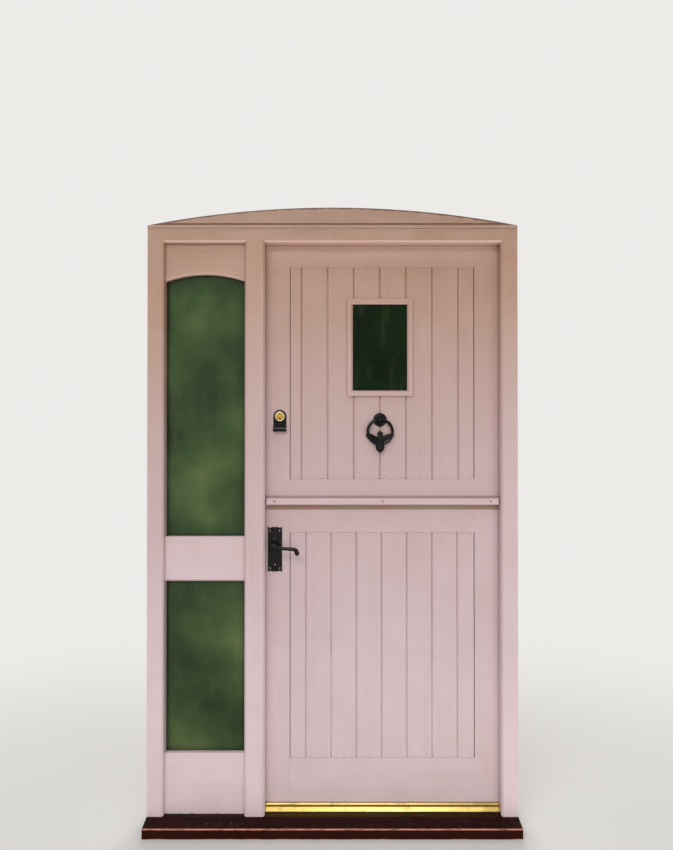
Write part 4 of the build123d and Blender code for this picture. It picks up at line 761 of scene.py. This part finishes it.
# %% [markdown]
# ## Soft edges on the painted wood
# Real joinery has its sharp edges sanded off before it is painted, and the paint rounds them further. A CAD
# node's mesh is loose triangles, so a Weld modifier joins them first, and a Bevel modifier then rounds
# each edge that is sharper than an angle. The boards keep their own V joints and pin holes. Iron, enamel and
# hinge plates get their own widths, because a casting is rounder than a plate.

# %% Round the edges
EDGE_SOFTENING = 0.0004
SHARPER_THAN = math.radians(40)


def soften(node, width=EDGE_SOFTENING):
    join = node.modifiers.new("join", "WELD")
    join.merge_threshold = 0.00001
    edge = node.modifiers.new("soft_edge", "BEVEL")
    edge.width = width
    edge.segments = 2
    edge.limit_method = "ANGLE"
    edge.angle_limit = SHARPER_THAN
    edge.harden_normals = False


SOFTENED = [name for name in nodes if FINISHES.get(name) is None and "boards" not in name]
for name in SOFTENED:
    soften(nodes[name])
METAL_SOFTENED = {"handle_plates": 0.0007, "cylinder_pull": 0.0007, "barrel_bolt_case": 0.0005,
                  "barrel_bolt_keep": 0.0005, "night_latch_case": 0.0008, "night_latch_keep": 0.0006,
                  "night_latch_knob": 0.0004, "lock_keep": 0.0003, "top_leaf_hinge_plates": 0.0003,
                  "bottom_leaf_hinge_plates": 0.0003, "hinge_frame_plates": 0.0003}
for name, width in METAL_SOFTENED.items():
    soften(nodes[name], width)
print("softened:", len(SOFTENED) + len(METAL_SOFTENED))

# %% [markdown]
# ## Helpers for the pieces that Blender adds
# Some pieces are too rounded for the CAD model: a cast lever, a turned boss, the insect on the knocker. They
# are made the way the real ones are. A turned piece is a profile spun about its axis. A bar is a curve with a
# radius at each point. A plate is a face drawn out to its thickness. A casting is a few overlapping forms
# that a voxel remesh melts into one skin.
# Sizes are in millimetres here, as in the CAD model, and mm() turns them into Blender's metres.

# %% Helpers for new pieces
def mm(*values):
    return tuple(value / 1000 for value in values)


def into_scene(name, mesh, finish, body, stands_for=(), sharp=40.0):
    """Makes an object of a closed mesh, gives it a finish and lets it ride on a body of the door."""
    bmesh.ops.recalc_face_normals(mesh, faces=mesh.faces)
    data = bpy.data.meshes.new(name)
    mesh.to_mesh(data)
    mesh.free()
    data.shade_smooth()
    data.set_sharp_from_angle(angle=math.radians(sharp))
    piece = placed(name, data)
    wear(piece, finish)
    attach(piece, body)
    if stands_for:
        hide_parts(*stands_for)
    print(name + ":", len(data.polygons), "faces")
    return piece


def melt(piece, voxel, rounds):
    """Joins overlapping forms into one cast skin and smooths it."""
    skin = piece.modifiers.new("one_skin", "REMESH")
    skin.mode = "VOXEL"
    skin.voxel_size = voxel / 1000
    skin.use_smooth_shade = True
    smooth = piece.modifiers.new("smooth_skin", "SMOOTH")
    smooth.factor = 0.5
    smooth.iterations = rounds


def pour_into(mesh, part):
    """Adds one bmesh to another by way of a passing mesh, and frees it."""
    passing = bpy.data.meshes.new("passing")
    part.to_mesh(passing)
    part.free()
    mesh.from_mesh(passing)
    bpy.data.meshes.remove(passing)


print("helpers that finish a piece ready")

# %% Helpers for round forms
MERGE_WITHIN = 0.000001


def turned(mesh, profile, centre, outward, steps):
    """Turns a profile of (radius, height) about the Y axis through centre; outward is -1 or 1."""
    spots = [mesh.verts.new(mm(centre[0] + radius, centre[1] + outward * height, centre[2]))
             for radius, height in profile]
    sides = [mesh.edges.new(pair) for pair in zip(spots, spots[1:])]
    bmesh.ops.spin(mesh, geom=spots + sides, cent=mm(*centre), axis=(0, 1, 0), angle=2 * math.pi,
                   steps=steps, use_merge=True)
    bmesh.ops.remove_doubles(mesh, verts=mesh.verts, dist=MERGE_WITHIN)


def ball(mesh, spot, radius, flat=1.0):
    shape = Matrix.Translation(mm(*spot)) @ Matrix.Diagonal((1, flat, 1, 1))
    bmesh.ops.create_uvsphere(mesh, u_segments=24, v_segments=16, radius=radius / 1000, matrix=shape)


def bar(mesh, points, radii, flat=1.0):
    """A round bar along points, with its radius at each one; flat presses it along Y."""
    path = bpy.data.curves.new("path", "CURVE")
    path.dimensions = "3D"
    path.bevel_depth = 0.001
    path.bevel_resolution = 4
    path.use_fill_caps = True
    spline = path.splines.new("NURBS")
    spline.points.add(len(points) - 1)
    for knot, spot, radius in zip(spline.points, points, radii):
        knot.co = (*mm(*spot), 1)
        knot.radius = radius
    spline.order_u = 3
    spline.use_endpoint_u = True
    spline.resolution_u = 5
    holder = bpy.data.objects.new("path", path)
    made = bpy.data.meshes.new_from_object(holder)
    part = bmesh.new()
    part.from_mesh(made)
    bmesh.ops.remove_doubles(part, verts=part.verts, dist=MERGE_WITHIN)
    depth = points[0][1] / 1000
    for vert in part.verts:
        vert.co.y = depth + (vert.co.y - depth) * flat
    pour_into(mesh, part)
    bpy.data.objects.remove(holder)
    bpy.data.curves.remove(path)
    bpy.data.meshes.remove(made)


print("helpers for round forms ready")

# %% Helpers for flat forms
def draw_out(mesh, faces, way):
    """Extrudes faces and moves the new ones by a way in millimetres, which makes them a solid."""
    drawn = bmesh.ops.extrude_face_region(mesh, geom=faces, use_keep_orig=True)
    moved = [item for item in drawn["geom"] if isinstance(item, bmesh.types.BMVert)]
    bmesh.ops.translate(mesh, verts=moved, vec=mm(*way))


def cut_out(mesh, outline, low_y, high_y):
    """A flat plate with an outline of (x, z) points between two depths."""
    face = mesh.faces.new([mesh.verts.new(mm(x, low_y, z)) for x, z in outline])
    draw_out(mesh, [face], (0, high_y - low_y, 0))


def block(mesh, centre, size):
    """A box round a centre, both in metres."""
    shape = Matrix.Translation(centre) @ Matrix.Diagonal((*size, 1))
    bmesh.ops.create_cube(mesh, size=1, matrix=shape)


def edges_along(mesh, axis, length):
    """The edges that go further than a length in metres along X (0), Y (1) or Z (2)."""
    return [edge for edge in mesh.edges if abs(edge.verts[0].co[axis] - edge.verts[1].co[axis]) > length]


def round_off(mesh, edges, offset, segments):
    bmesh.ops.bevel(mesh, geom=edges, offset=offset, segments=segments, profile=0.5, affect="EDGES",
                    material=-1)


print("helpers for flat forms ready")

# %% [markdown]
# ## The strip over the head and the old joint above it
# A planed strip covers the joint between the frame's head and the arched board. Years of paint have rounded
# its front edges, and its lower edge runs a little wavy. Above it a dark brown bead fills the corner under
# the arched board: painted shade, standing for the shadowed gap there. It thins out where the board comes to
# its points.

# %% Cover strip
STRIP_FRONT, STRIP_SHAVED = -0.0032, 0.0015
STRIP_LOW, STRIP_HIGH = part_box("head_cover_strip")
STRIP_LOW.y, STRIP_HIGH.z = STRIP_FRONT, STRIP_HIGH.z - STRIP_SHAVED
STRIP_MIDDLE = (STRIP_LOW + STRIP_HIGH) / 2
STRIP_SIZE = STRIP_HIGH - STRIP_LOW
STRIP_SIZE.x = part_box("frame_head")[1].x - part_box("frame_head")[0].x
STRIP_EDGE = 0.0011
STRIP_CORNER = 0.006
STRIP_WAVE = 0.0005

strip = bmesh.new()
block(strip, STRIP_MIDDLE, STRIP_SIZE)
corners = [edge for edge in edges_along(strip, 1, STRIP_SIZE.y / 2)
           if all(v.co.z > STRIP_MIDDLE.z for v in edge.verts)]
round_off(strip, corners, STRIP_CORNER, 5)
front = [edge for edge in strip.edges if all(v.co.y < STRIP_MIDDLE.y for v in edge.verts)]
round_off(strip, front, STRIP_EDGE, 3)
along = edges_along(strip, 0, STRIP_SIZE.x / 2)
bmesh.ops.subdivide_edges(strip, edges=along, cuts=260, use_grid_fill=True)
for vert in strip.verts:
    slow = noise.noise(Vector((vert.co.x * 14, 0.3, 0.7)))
    sway = slow + 0.6 * noise.noise(Vector((vert.co.x * 47, 1.3, 0.2)))
    if vert.co.z < STRIP_MIDDLE.z:
        vert.co.z += STRIP_WAVE * (sway + 0.3)
    if vert.co.y < STRIP_MIDDLE.y:
        vert.co.y += 0.4 * STRIP_WAVE * (abs(sway) + 0.1)
into_scene("cover_strip", strip, paint_level, "frame", ["head_cover_strip"])

# %% Bead of painted shade over the strip
BOARD_FACE = 1000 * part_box("arch_board")[0].y
GAP_BEAD_SECTION = ((-4, -3.0), (0.5, -3.0), (0.5, 9.6), (-1.2, 8.4), (-3.4, 1.2))
GAP_BEAD_HALF = 632
GAP_BEAD_RAGGED, BELOW_BOARD_TOP = 0.0009, 0.0012
print("arched board's face at Y", round(BOARD_FACE, 2), "mm")

# A dark bead in the gap under the arched board: painted shade.
gap_bead = bmesh.new()
end = [gap_bead.verts.new((-GAP_BEAD_HALF / 1000, (BOARD_FACE + y) / 1000, STRIP_HIGH.z + z / 1000))
       for y, z in GAP_BEAD_SECTION]
draw_out(gap_bead, [gap_bead.faces.new(end)], (2 * GAP_BEAD_HALF, 0, 0))
bmesh.ops.subdivide_edges(gap_bead, edges=edges_along(gap_bead, 0, 1), cuts=240, use_grid_fill=True)
for vert in gap_bead.verts:
    board_top = ARCH_CENTRE_HEIGHT + math.sqrt(ARCH_RADIUS ** 2 - vert.co.x ** 2)
    ragged = GAP_BEAD_RAGGED * noise.noise(Vector((vert.co.x * 60, vert.co.z * 30, 0.4)))
    if vert.co.z > STRIP_HIGH.z:
        vert.co.z = max(STRIP_HIGH.z - 0.001, min(vert.co.z + ragged, board_top - BELOW_BOARD_TOP))
into_scene("shadow_gap_bead", gap_bead, shadow_gap_finish, "frame")

# %% [markdown]
# ## Turned bosses and screws on the handle plates
# Each plate has a turned boss round the lever's neck: a broad ring, a groove and a smaller raised collar that
# the neck passes through. The plates are fixed with black domed screws. Their slots are worn bright, so a
# small steel disc stands in each slot, between the two halves of the dome. A dome is cut in half by a plane,
# which keeps the slot's edges sharp.

# %% Bosses and screws
SPINDLE_X, SPINDLE_Z = -203.0, 975.0
FACES = (("outside", 44.0, -1), ("inside", 94.0, 1))
BOSS_PROFILE = ((23.8, -0.3), (23.8, 0.8), (23.2, 1.8), (21.8, 2.9), (20.0, 3.9), (18.4, 4.5), (17.4, 4.3),
                (16.8, 3.5), (16.0, 3.3), (15.4, 4.2), (14.4, 5.6), (12.8, 6.7), (11.2, 7.4), (10.0, 7.6),
                (9.2, 7.2), (9.2, -0.3), (23.8, -0.3))
SCREW_SPOTS = [(SPINDLE_X + a * 17, SPINDLE_Z - 18 + b * 66) for a in (-1, 1) for b in (-1, 1)]
SLOT_TURNS = (0.45, 0.15, -0.2, -0.1)
HEAD_RADIUS, HEAD_RISE, SLOT_WIDTH = 4.4, 1.5, 1.2
DOME = ((0, HEAD_RISE), (HEAD_RADIUS * 0.45, HEAD_RISE * 0.93), (HEAD_RADIUS * 0.8, HEAD_RISE * 0.66),
        (HEAD_RADIUS, 0.3), (HEAD_RADIUS, 0), (0, 0))
DISC = ((0, 0.5), (2.7, 0.5), (2.7, 0.1), (0, 0.1))


def slotted_head(mesh, spot, outward, turn):
    """The two half domes of a screw head, with its slot between them."""
    across = Vector((math.cos(turn), 0, math.sin(turn)))
    for side in (-1, 1):
        half = bmesh.new()
        turned(half, DOME, spot, outward, 24)
        whole = half.verts[:] + half.edges[:] + half.faces[:]
        cut = bmesh.ops.bisect_plane(half, geom=whole, dist=MERGE_WITHIN, clear_outer=True,
                                     plane_co=Vector(mm(*spot)) + across * side * SLOT_WIDTH / 2000,
                                     plane_no=across * -side)
        rim = [item for item in cut["geom_cut"] if isinstance(item, bmesh.types.BMEdge)]
        bmesh.ops.holes_fill(half, edges=rim, sides=0)
        pour_into(mesh, half)


for side_name, plate_y, outward in FACES:
    boss = bmesh.new()
    turned(boss, BOSS_PROFILE, (SPINDLE_X, plate_y, SPINDLE_Z), outward, 72)
    into_scene(side_name + "_handle_boss", boss, smooth_iron, "bottom_leaf")
    heads, discs = bmesh.new(), bmesh.new()
    for (x, z), turn in zip(SCREW_SPOTS, SLOT_TURNS):
        slotted_head(heads, (x, plate_y, z), outward, turn)
        turned(discs, DISC, (x, plate_y, z), outward, 24)
    into_scene(side_name + "_plate_screws", heads, smooth_iron, "bottom_leaf", sharp=30)
    into_scene(side_name + "_screw_slots", discs, bright_steel, "bottom_leaf")

# %% [markdown]
# ### Keyhole
# The keyhole is dark because the lock's brass levers stand right behind it: four thin plates, one behind the
# other, painted near black as painted shade. A small polished stud sits below it.

# %% Stud and lock levers
STUD_PROFILE = ((0, 1.7), (1.3, 1.5), (2.2, 0.9), (2.7, 0), (2.7, -0.2), (0, -0.2))
STUD_SPOT = (-203.4, 44.0, 903.2)
FIRST_LEVER_Y, LEVER_STEP, KEYHOLE_Z = 64.5, 3, 911

stud = bmesh.new()
turned(stud, STUD_PROFILE, STUD_SPOT, -1, 24)
into_scene("keyhole_stud", stud, bright_steel, "bottom_leaf")

levers = bmesh.new()
for number in range(4):
    block(levers, mm(SPINDLE_X, FIRST_LEVER_Y + LEVER_STEP * number, KEYHOLE_Z), mm(18, 2, 26))
into_scene("lock_levers", levers, shaded_lever_brass, "bottom_leaf")

# %% [markdown]
# ## Cast levers
# Each lever is one casting: a neck that comes straight out of the boss, a round elbow, and a bar that swells
# a little towards its end and curls down into a ball. The forms overlap, and the remesh gives them one skin.
# The inside lever is the same casting turned to face the room.

# %% Levers
ROD_POINTS = ((-203, 974.5), (-193, 971.6), (-182, 968.2), (-165, 966.8), (-148, 966.0), (-135, 965.0),
              (-125.4, 961.6), (-122.9, 951.5))
ROD_RADII = (7.0, 6.6, 6.1, 6.1, 6.4, 6.9, 7.6, 8.4)
ROD_REACH = 47
NECK_STEPS = ((-1, 0, 8.8), (9, 0, 8.7), (20, 0, 8.2), (32, 0.8, 7.9), (ROD_REACH, 1.5, 7.9))

for side_name, plate_y, outward in FACES:
    rod_y = plate_y + outward * ROD_REACH
    casting = bmesh.new()
    neck = [(SPINDLE_X, plate_y + outward * reach, SPINDLE_Z + rise) for reach, rise, radius in NECK_STEPS]
    bar(casting, neck, [radius for reach, rise, radius in NECK_STEPS])
    ball(casting, (SPINDLE_X, rod_y, SPINDLE_Z + 1.5), 9.8)
    bar(casting, [(x, rod_y, z) for x, z in ROD_POINTS], ROD_RADII)
    ball(casting, (ROD_POINTS[-1][0], rod_y, ROD_POINTS[-1][1] - 0.2), 8.8)
    lever = into_scene(side_name + "_cast_lever", casting, smooth_iron, "lever",
                       [side_name + "_lever"])
    melt(lever, 0.7, 4)

# %% [markdown]
# ## Knocker
# The knocker is a cast ring that hangs in a domed boss. A winged insect is cast into its lower half: a round
# head, two spread wings with veins, a ribbed body and a pointed tail that strikes the stud. The insect's
# places were measured on the photograph, from the ring's centre, and it is pressed flat because castings of
# this kind are hollow behind and only a little proud of the door.
# All its forms are laid into one mesh. The ring comes first, and its rod is thinner at its lower right.

# %% Knocker's ring
KNOCKER_LOW, KNOCKER_HIGH = (1000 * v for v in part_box("knocker_boss"))
KNOCKER_X = (KNOCKER_LOW.x + KNOCKER_HIGH.x) / 2
PIVOT_Z = (KNOCKER_LOW.z + KNOCKER_HIGH.z) / 2
BOARD_FRONT = KNOCKER_HIGH.y
KNOCKER_Y = BOARD_FRONT - 13
RING_Z = PIVOT_Z - 42.5
RING_RADIUS, RING_ROD = 43.4, 5.5
OPEN_SIDE, OPEN_ROD, OPEN_SPREAD = range(284, 344), 3.3, 2.2
PRESSED = 0.62


def about_ring(points, y=KNOCKER_Y):
    """Puts (x, z) points, given from the ring's centre, at their place on the door."""
    return [(KNOCKER_X + x, y, RING_Z + z) for x, z in points]


casting = bmesh.new()
ring_angles = range(120, 421, 6)
reach = [RING_RADIUS + (OPEN_SPREAD if a in OPEN_SIDE else 0) for a in ring_angles]
ring = [(math.cos(math.radians(a)) * r, math.sin(math.radians(a)) * r) for a, r in zip(ring_angles, reach)]
left_end = [(0, 42.5), (-12, 42.5), (-18, 40.6)]
right_end = [(-x, z) for x, z in reversed(left_end)]
rod = [OPEN_ROD if a in OPEN_SIDE else RING_ROD for a in ring_angles]
bar(casting, about_ring(left_end + ring + right_end), [3.4, 4.0, 4.8] + rod + [4.8, 4.0, 3.4])
print("ring:", len(casting.verts), "points")

# %% [markdown]
# The body is a row of pressed balls, a tail that swells and comes to a point, and ribs that bow over it. The
# wings are flat plates cut to their outline, with veins as thin bars on top.

# %% The insect's body and wings
BODY_BALLS = ((0, -7.8, 10.2, PRESSED), (-3.6, -2.6, 2.6, 1.0), (3.6, -2.6, 2.6, 1.0),
              (0, -21.5, 11.6, PRESSED), (0, -37.5, 14.0, PRESSED))
TAIL = ((0, -42, 13.5), (0, -50, 15.6), (0, -57, 15.9), (0, -63, 13.6), (0, -69, 8.6), (0, -73.5, 2.2))
RIBS = ((-30, 12.6), (-37, 14.4), (-44, 14.9), (-51, 15.6), (-58, 15.2))
RIB_SPOTS = (-0.9, -0.6, -0.3, 0, 0.3, 0.6, 0.9)
RIB_RADII = (0.9, 1.1, 1.2, 1.2, 1.2, 1.1, 0.9)
RIB_BOW = math.radians(85)
LEFT_WING = ((-52, -11.7), (-45, -8.2), (-37.7, -6.4), (-30, -7.6), (-22.6, -11.4), (-16, -15.5), (-6, -20),
             (-6, -38), (-20, -41), (-30, -35.5), (-39, -28.6), (-46, -21), (-49.5, -15.5))
RIGHT_WING = ((52, -14.4), (43.5, -9.4), (34.5, -6.4), (27, -7.6), (20.5, -10.2), (13, -14.2), (6, -19.5),
              (6, -37), (12, -38.6), (19, -35.6), (27, -30.0), (34.6, -22.4), (40, -16.6), (46, -15.8))
VEINS = (((8, -22), (22, -13.5), (36, -9), (47, -11.5)), ((8, -27), (22, -19.5), (36, -15), (46, -14.2)),
         ((9, -32), (20, -26.5), (31, -21.5), (40, -18)))

for x, z, radius, flat in BODY_BALLS:
    ball(casting, (KNOCKER_X + x, KNOCKER_Y, RING_Z + z), radius, flat)
bar(casting, about_ring([(x, z) for x, z, radius in TAIL]), [radius for x, z, radius in TAIL], PRESSED)
for z, half in RIBS:
    rib = [(KNOCKER_X + x * half, KNOCKER_Y - PRESSED * half * math.cos(RIB_BOW * x) - 0.2,
            RING_Z + z - 2.6 * (1 - x * x)) for x in RIB_SPOTS]
    bar(casting, rib, RIB_RADII)
for outline, side in ((LEFT_WING, -1), (RIGHT_WING, 1)):
    flat_outline = [(KNOCKER_X + x, RING_Z + z) for x, z in outline]
    cut_out(casting, flat_outline, KNOCKER_Y - 2.6, KNOCKER_Y + 2.4)
    for vein in VEINS:
        line = about_ring([(side * x, z) for x, z in vein], KNOCKER_Y - 2.9)
        bar(casting, line, (1.7, 1.6, 1.5, 1.1))
knocker = into_scene("cast_knocker", casting, knocker_iron, "knocker_ring", ["knocker_ring"])
melt(knocker, 0.62, 2)

# %% [markdown]
# ### The knocker's boss
# The boss has a raised rim, a groove and a small dome in which the ring's pin turns, with a pointed lobe
# below. The round part is turned, and the lobe is a short bar that gets thinner downwards.

# %% Knocker's boss
KNOCKER_BOSS = ((0, 21.4), (3.5, 21.0), (6.8, 19.4), (9.4, 16.6), (11.4, 13.0), (12.4, 9.6), (13.6, 7.4),
                (15.6, 6.2), (17.8, 6.1), (19.6, 7.2), (21.2, 7.5), (22.8, 6.6), (23.7, 4.6), (24.0, 2.2),
                (24.0, 0), (0, 0))
LOBE = ((-8, 11.5), (-14, 10.0), (-19.5, 6.4), (-24.6, 2.0))

boss = bmesh.new()
turned(boss, KNOCKER_BOSS, (KNOCKER_X, BOARD_FRONT, PIVOT_Z), -1, 72)
bar(boss, [(KNOCKER_X, BOARD_FRONT - 5.5, PIVOT_Z + z) for z, radius in LOBE],
    [radius for z, radius in LOBE], 0.8)
boss = into_scene("cast_knocker_boss", boss, knocker_iron, "top_leaf", ["knocker_boss"])
melt(boss, 0.6, 3)

# %% [markdown]
# ## Finger pull
# The pull is a pressed iron plate with a round top. Its foot curls out into a lip that leans back a little,
# so it catches the sky. The plate's outline and the hole for the cylinder are filled as one face and drawn
# out, the lip is a section drawn across, and the remesh rounds both as a casting is round.

# %% Finger pull
def ring_of(x, z, radius, steps, start=0.0, turn=360.0):
    """Points on a circle, or on a part of it, in the X and Z of the door."""
    share = steps if turn == 360.0 else steps - 1
    angles = [math.radians(start + turn * i / share) for i in range(steps)]
    return [(x + radius * math.cos(a), z + radius * math.sin(a)) for a in angles]


def punched(mesh, outline, hole, low_y, high_y):
    """A plate with a hole: both outlines are filled as one face, which is then drawn out along Y."""
    edges = []
    for loop in (outline, hole):
        spots = [mesh.verts.new(mm(x, low_y, z)) for x, z in loop]
        edges += [mesh.edges.new(pair) for pair in zip(spots, spots[1:] + spots[:1])]
    filled = bmesh.ops.triangle_fill(mesh, use_beauty=True, edges=edges)
    faces = [item for item in filled["geom"] if isinstance(item, bmesh.types.BMFace)]
    draw_out(mesh, faces, (0, high_y - low_y, 0))


PULL_LOW, PULL_HIGH = (1000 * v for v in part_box("cylinder_pull"))
PULL_HALF = (PULL_HIGH.x - PULL_LOW.x) / 2
PULL_THICK = 3.0
CYLINDER_HOLE = 15.3
FOOT, LEAF_FACE = PULL_LOW.z, PULL_HIGH.y
LIP_SECTION = ((0, 0), (-8, 0), (-13.5, 0.7), (-16.6, 2.6), (-17.8, 6.0), (-17.5, 9.5), (-16.2, 13.6),
               (-14.6, 16.6), (-13.2, 17.0), (-12.2, 15.8), (-13.0, 11.5), (-13.6, 8.0), (-12.6, 5.2),
               (-9.5, 3.4), (-3.0, 3.2), (0, 3.2))

pull = bmesh.new()
arch = ring_of(CYLINDER_X, PULL_HIGH.z - PULL_HALF, PULL_HALF, 33, 0.0, 180.0)
outline = arch + [(CYLINDER_X - PULL_HALF, FOOT), (CYLINDER_X + PULL_HALF, FOOT)]
hole = ring_of(CYLINDER_X, CYLINDER_Z, CYLINDER_HOLE, 48)
punched(pull, outline, hole, LEAF_FACE - PULL_THICK, LEAF_FACE)
section = [pull.verts.new(mm(CYLINDER_X - PULL_HALF, LEAF_FACE + y, FOOT + z)) for y, z in LIP_SECTION]
draw_out(pull, [pull.faces.new(section)], (2 * PULL_HALF, 0, 0))
pull = into_scene("finger_pull", pull, handle_iron, "top_leaf", ["cylinder_pull"])
melt(pull, 0.6, 2)

# %% [markdown]
# ## Lock cylinder
# The cylinder's rim is rubbed bright by fingers. Its plug sits low in it, with a keyhole that is wider at
# its foot. A filled face can have a hole in it, so the plug is made as the plate is. Its wards, painted near
# black as painted shade inside the plug, stand a little behind the front, and close the keyhole there.

# %% Cylinder rim and plug
CYLINDER_FRONT = 1000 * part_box("cylinder_body")[0].y
RIM_PROFILE = ((17.1, -2.6), (17.1, -0.5), (16.7, 0.3), (15.9, 0.9), (15.0, 1.0), (14.2, 0.6), (13.7, -0.3),
               (15.0, -1.2), (16.5, -2.6), (17.1, -2.6))
PLUG_LOW, PLUG_HIGH = (1000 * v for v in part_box("cylinder_plug"))
PLUG_RADIUS = (PLUG_HIGH.x - PLUG_LOW.x) / 2
PLUG_Z = PLUG_LOW.z + PLUG_RADIUS
PLUG_LONG = 38.5
KEYHOLE_BULB, KEYHOLE_DROP, KEYHOLE_TOP, KEYHOLE_HALF = 2.6, 3.3, 3.6, 1.0
WARD_DEPTH, WARD_LONG = 3.0, 30

rim = bmesh.new()
turned(rim, RIM_PROFILE, (CYLINDER_X, CYLINDER_FRONT, CYLINDER_Z), -1, 64)
into_scene("cylinder_rim", rim, bright_brass, "top_leaf")

neck = math.degrees(math.asin(KEYHOLE_HALF / KEYHOLE_BULB))
keyhole = ring_of(CYLINDER_X, PLUG_Z - KEYHOLE_DROP, KEYHOLE_BULB, 17, 90 + neck, 360 - 2 * neck)
keyhole += [(CYLINDER_X + side * KEYHOLE_HALF, PLUG_Z + KEYHOLE_TOP) for side in (1, -1)]
plug_end = PLUG_LOW.y + PLUG_LONG
plug = bmesh.new()
punched(plug, ring_of(CYLINDER_X, PLUG_Z, PLUG_RADIUS, 48), keyhole, PLUG_LOW.y, plug_end)
block(plug, mm(CYLINDER_X, (plug_end + PLUG_HIGH.y) / 2, PLUG_Z), mm(2, PLUG_HIGH.y - plug_end, 6))
into_scene("keyed_plug", plug, cylinder_brass, "cylinder_plug", ["cylinder_plug"])

wards = bmesh.new()
wards_y = PLUG_LOW.y + WARD_DEPTH + WARD_LONG / 2
block(wards, mm(CYLINDER_X, wards_y, PLUG_Z - 1), mm(5, WARD_LONG, 9.6))
into_scene("keyhole_wards", wards, shaded_lever_brass, "cylinder_plug")

# %% [markdown]
# ## Floor and world
# The door stands on a plain pale floor in a pale, even studio. The world is pale to the camera and in
# reflections, and dimmer as a light, so that a colour renders about as it is written. A Light Path node tells
# the rays that see the background from those that only carry its light. Far out, the floor turns into the
# world's own colour, so that no horizon shows.

# %% Floor and world
PALE = (0.84, 0.83, 0.81, 1.0)
FLOOR_COLOUR = (0.76, 0.75, 0.73, 1.0)
FLOOR_GRIT = (0.70, 0.69, 0.67, 1.0)
FLOOR_RADIUS = 40
FLOOR_FADE = (0.9, 2.8)
WORLD_AS_LIGHT = 0.50


def seen_rays(tree):
    """1 for the rays that show the background: the camera's own, and those through gloss and glass."""
    rays = add(tree, "ShaderNodeLightPath").outputs
    seen = maths(tree, "MAXIMUM", rays["Is Camera Ray"], rays["Is Glossy Ray"])
    return maths(tree, "MAXIMUM", seen, rays["Is Transmission Ray"])


floor_mesh = bmesh.new()
bmesh.ops.create_circle(floor_mesh, cap_ends=True, segments=64, radius=FLOOR_RADIUS)
floor_data = bpy.data.meshes.new("floor")
floor_mesh.to_mesh(floor_data)
floor_mesh.free()
floor = placed("floor", floor_data)

floor_material, tree, shader = finish_named("floor_paint")
shader.inputs["Roughness"].default_value = 0.7
grit = between(tree, clouds(tree, 60.0, 4.0), 0.3, 0.7, 0.0, 0.25)
tree.links.new(blend(tree, grit, FLOOR_COLOUR, FLOOR_GRIT), shader.inputs["Base Color"])
where = {0: add(tree, "ShaderNodeTexCoord").outputs["Object"]}
far = add(tree, "ShaderNodeVectorMath", where, operation="LENGTH").outputs["Value"]
fade = times(tree, between(tree, far, *FLOOR_FADE, smooth=True), seen_rays(tree))
glow = add(tree, "ShaderNodeEmission", {"Color": PALE, "Strength": 1.0}).outputs["Emission"]
mixed = add(tree, "ShaderNodeMixShader", {0: fade, 1: shader.outputs["BSDF"], 2: glow}).outputs[0]
tree.links.new(mixed, tree.nodes["Material Output"].inputs["Surface"])
floor_data.materials.append(floor_material)

world = bpy.data.worlds.new("studio")
world.use_nodes = True
bpy.context.scene.world = world
tree = world.node_tree
sky = tree.nodes["Background"]
sky.inputs["Color"].default_value = PALE
tree.links.new(between(tree, seen_rays(tree), 0.0, 1.0, WORLD_AS_LIGHT, 1.0), sky.inputs["Strength"])
print("floor and world made")

# %% [markdown]
# ## Lamps
# Four wide, soft lamps light the door. One high on the left is the open sky. One overhead gives the ledges
# and the sill their light tops. One low on the right fills the shadows, as light from pale ground does, and
# one behind lights the inside for the views from there.

# %% Lamps
DOOR_MIDDLE = (0, 0, 1.05)
LAMPS = (
    # name, place, aim, size in metres, power in watts
    ("sky_lamp", (-1.4, -5.6, 5.2), DOOR_MIDDLE, (4.4, 1.8), 172),
    ("overhead_lamp", (-0.2, -1.0, 4.3), (-0.1, -0.2, 1.0), (1.6, 1.0), 15),
    ("pavement_lamp", (1.3, -3.4, 0.70), DOOR_MIDDLE, (3.0, 1.2), 28),
    ("inside_lamp", (0.2, 3.6, 2.4), DOOR_MIDDLE, (2.6, 2.0), 84),
)
for name, spot, aim, size, power in LAMPS:
    light = bpy.data.lights.new(name, "AREA")
    light.shape = "RECTANGLE"
    light.size, light.size_y = size
    light.energy = power
    lamp = placed(name, light)
    lamp.location = spot
    lamp.rotation_euler = (Vector(aim) - Vector(spot)).to_track_quat("-Z", "Y").to_euler()
bpy.context.scene.view_settings.view_transform = "Standard"
print("lamps:", len(LAMPS))
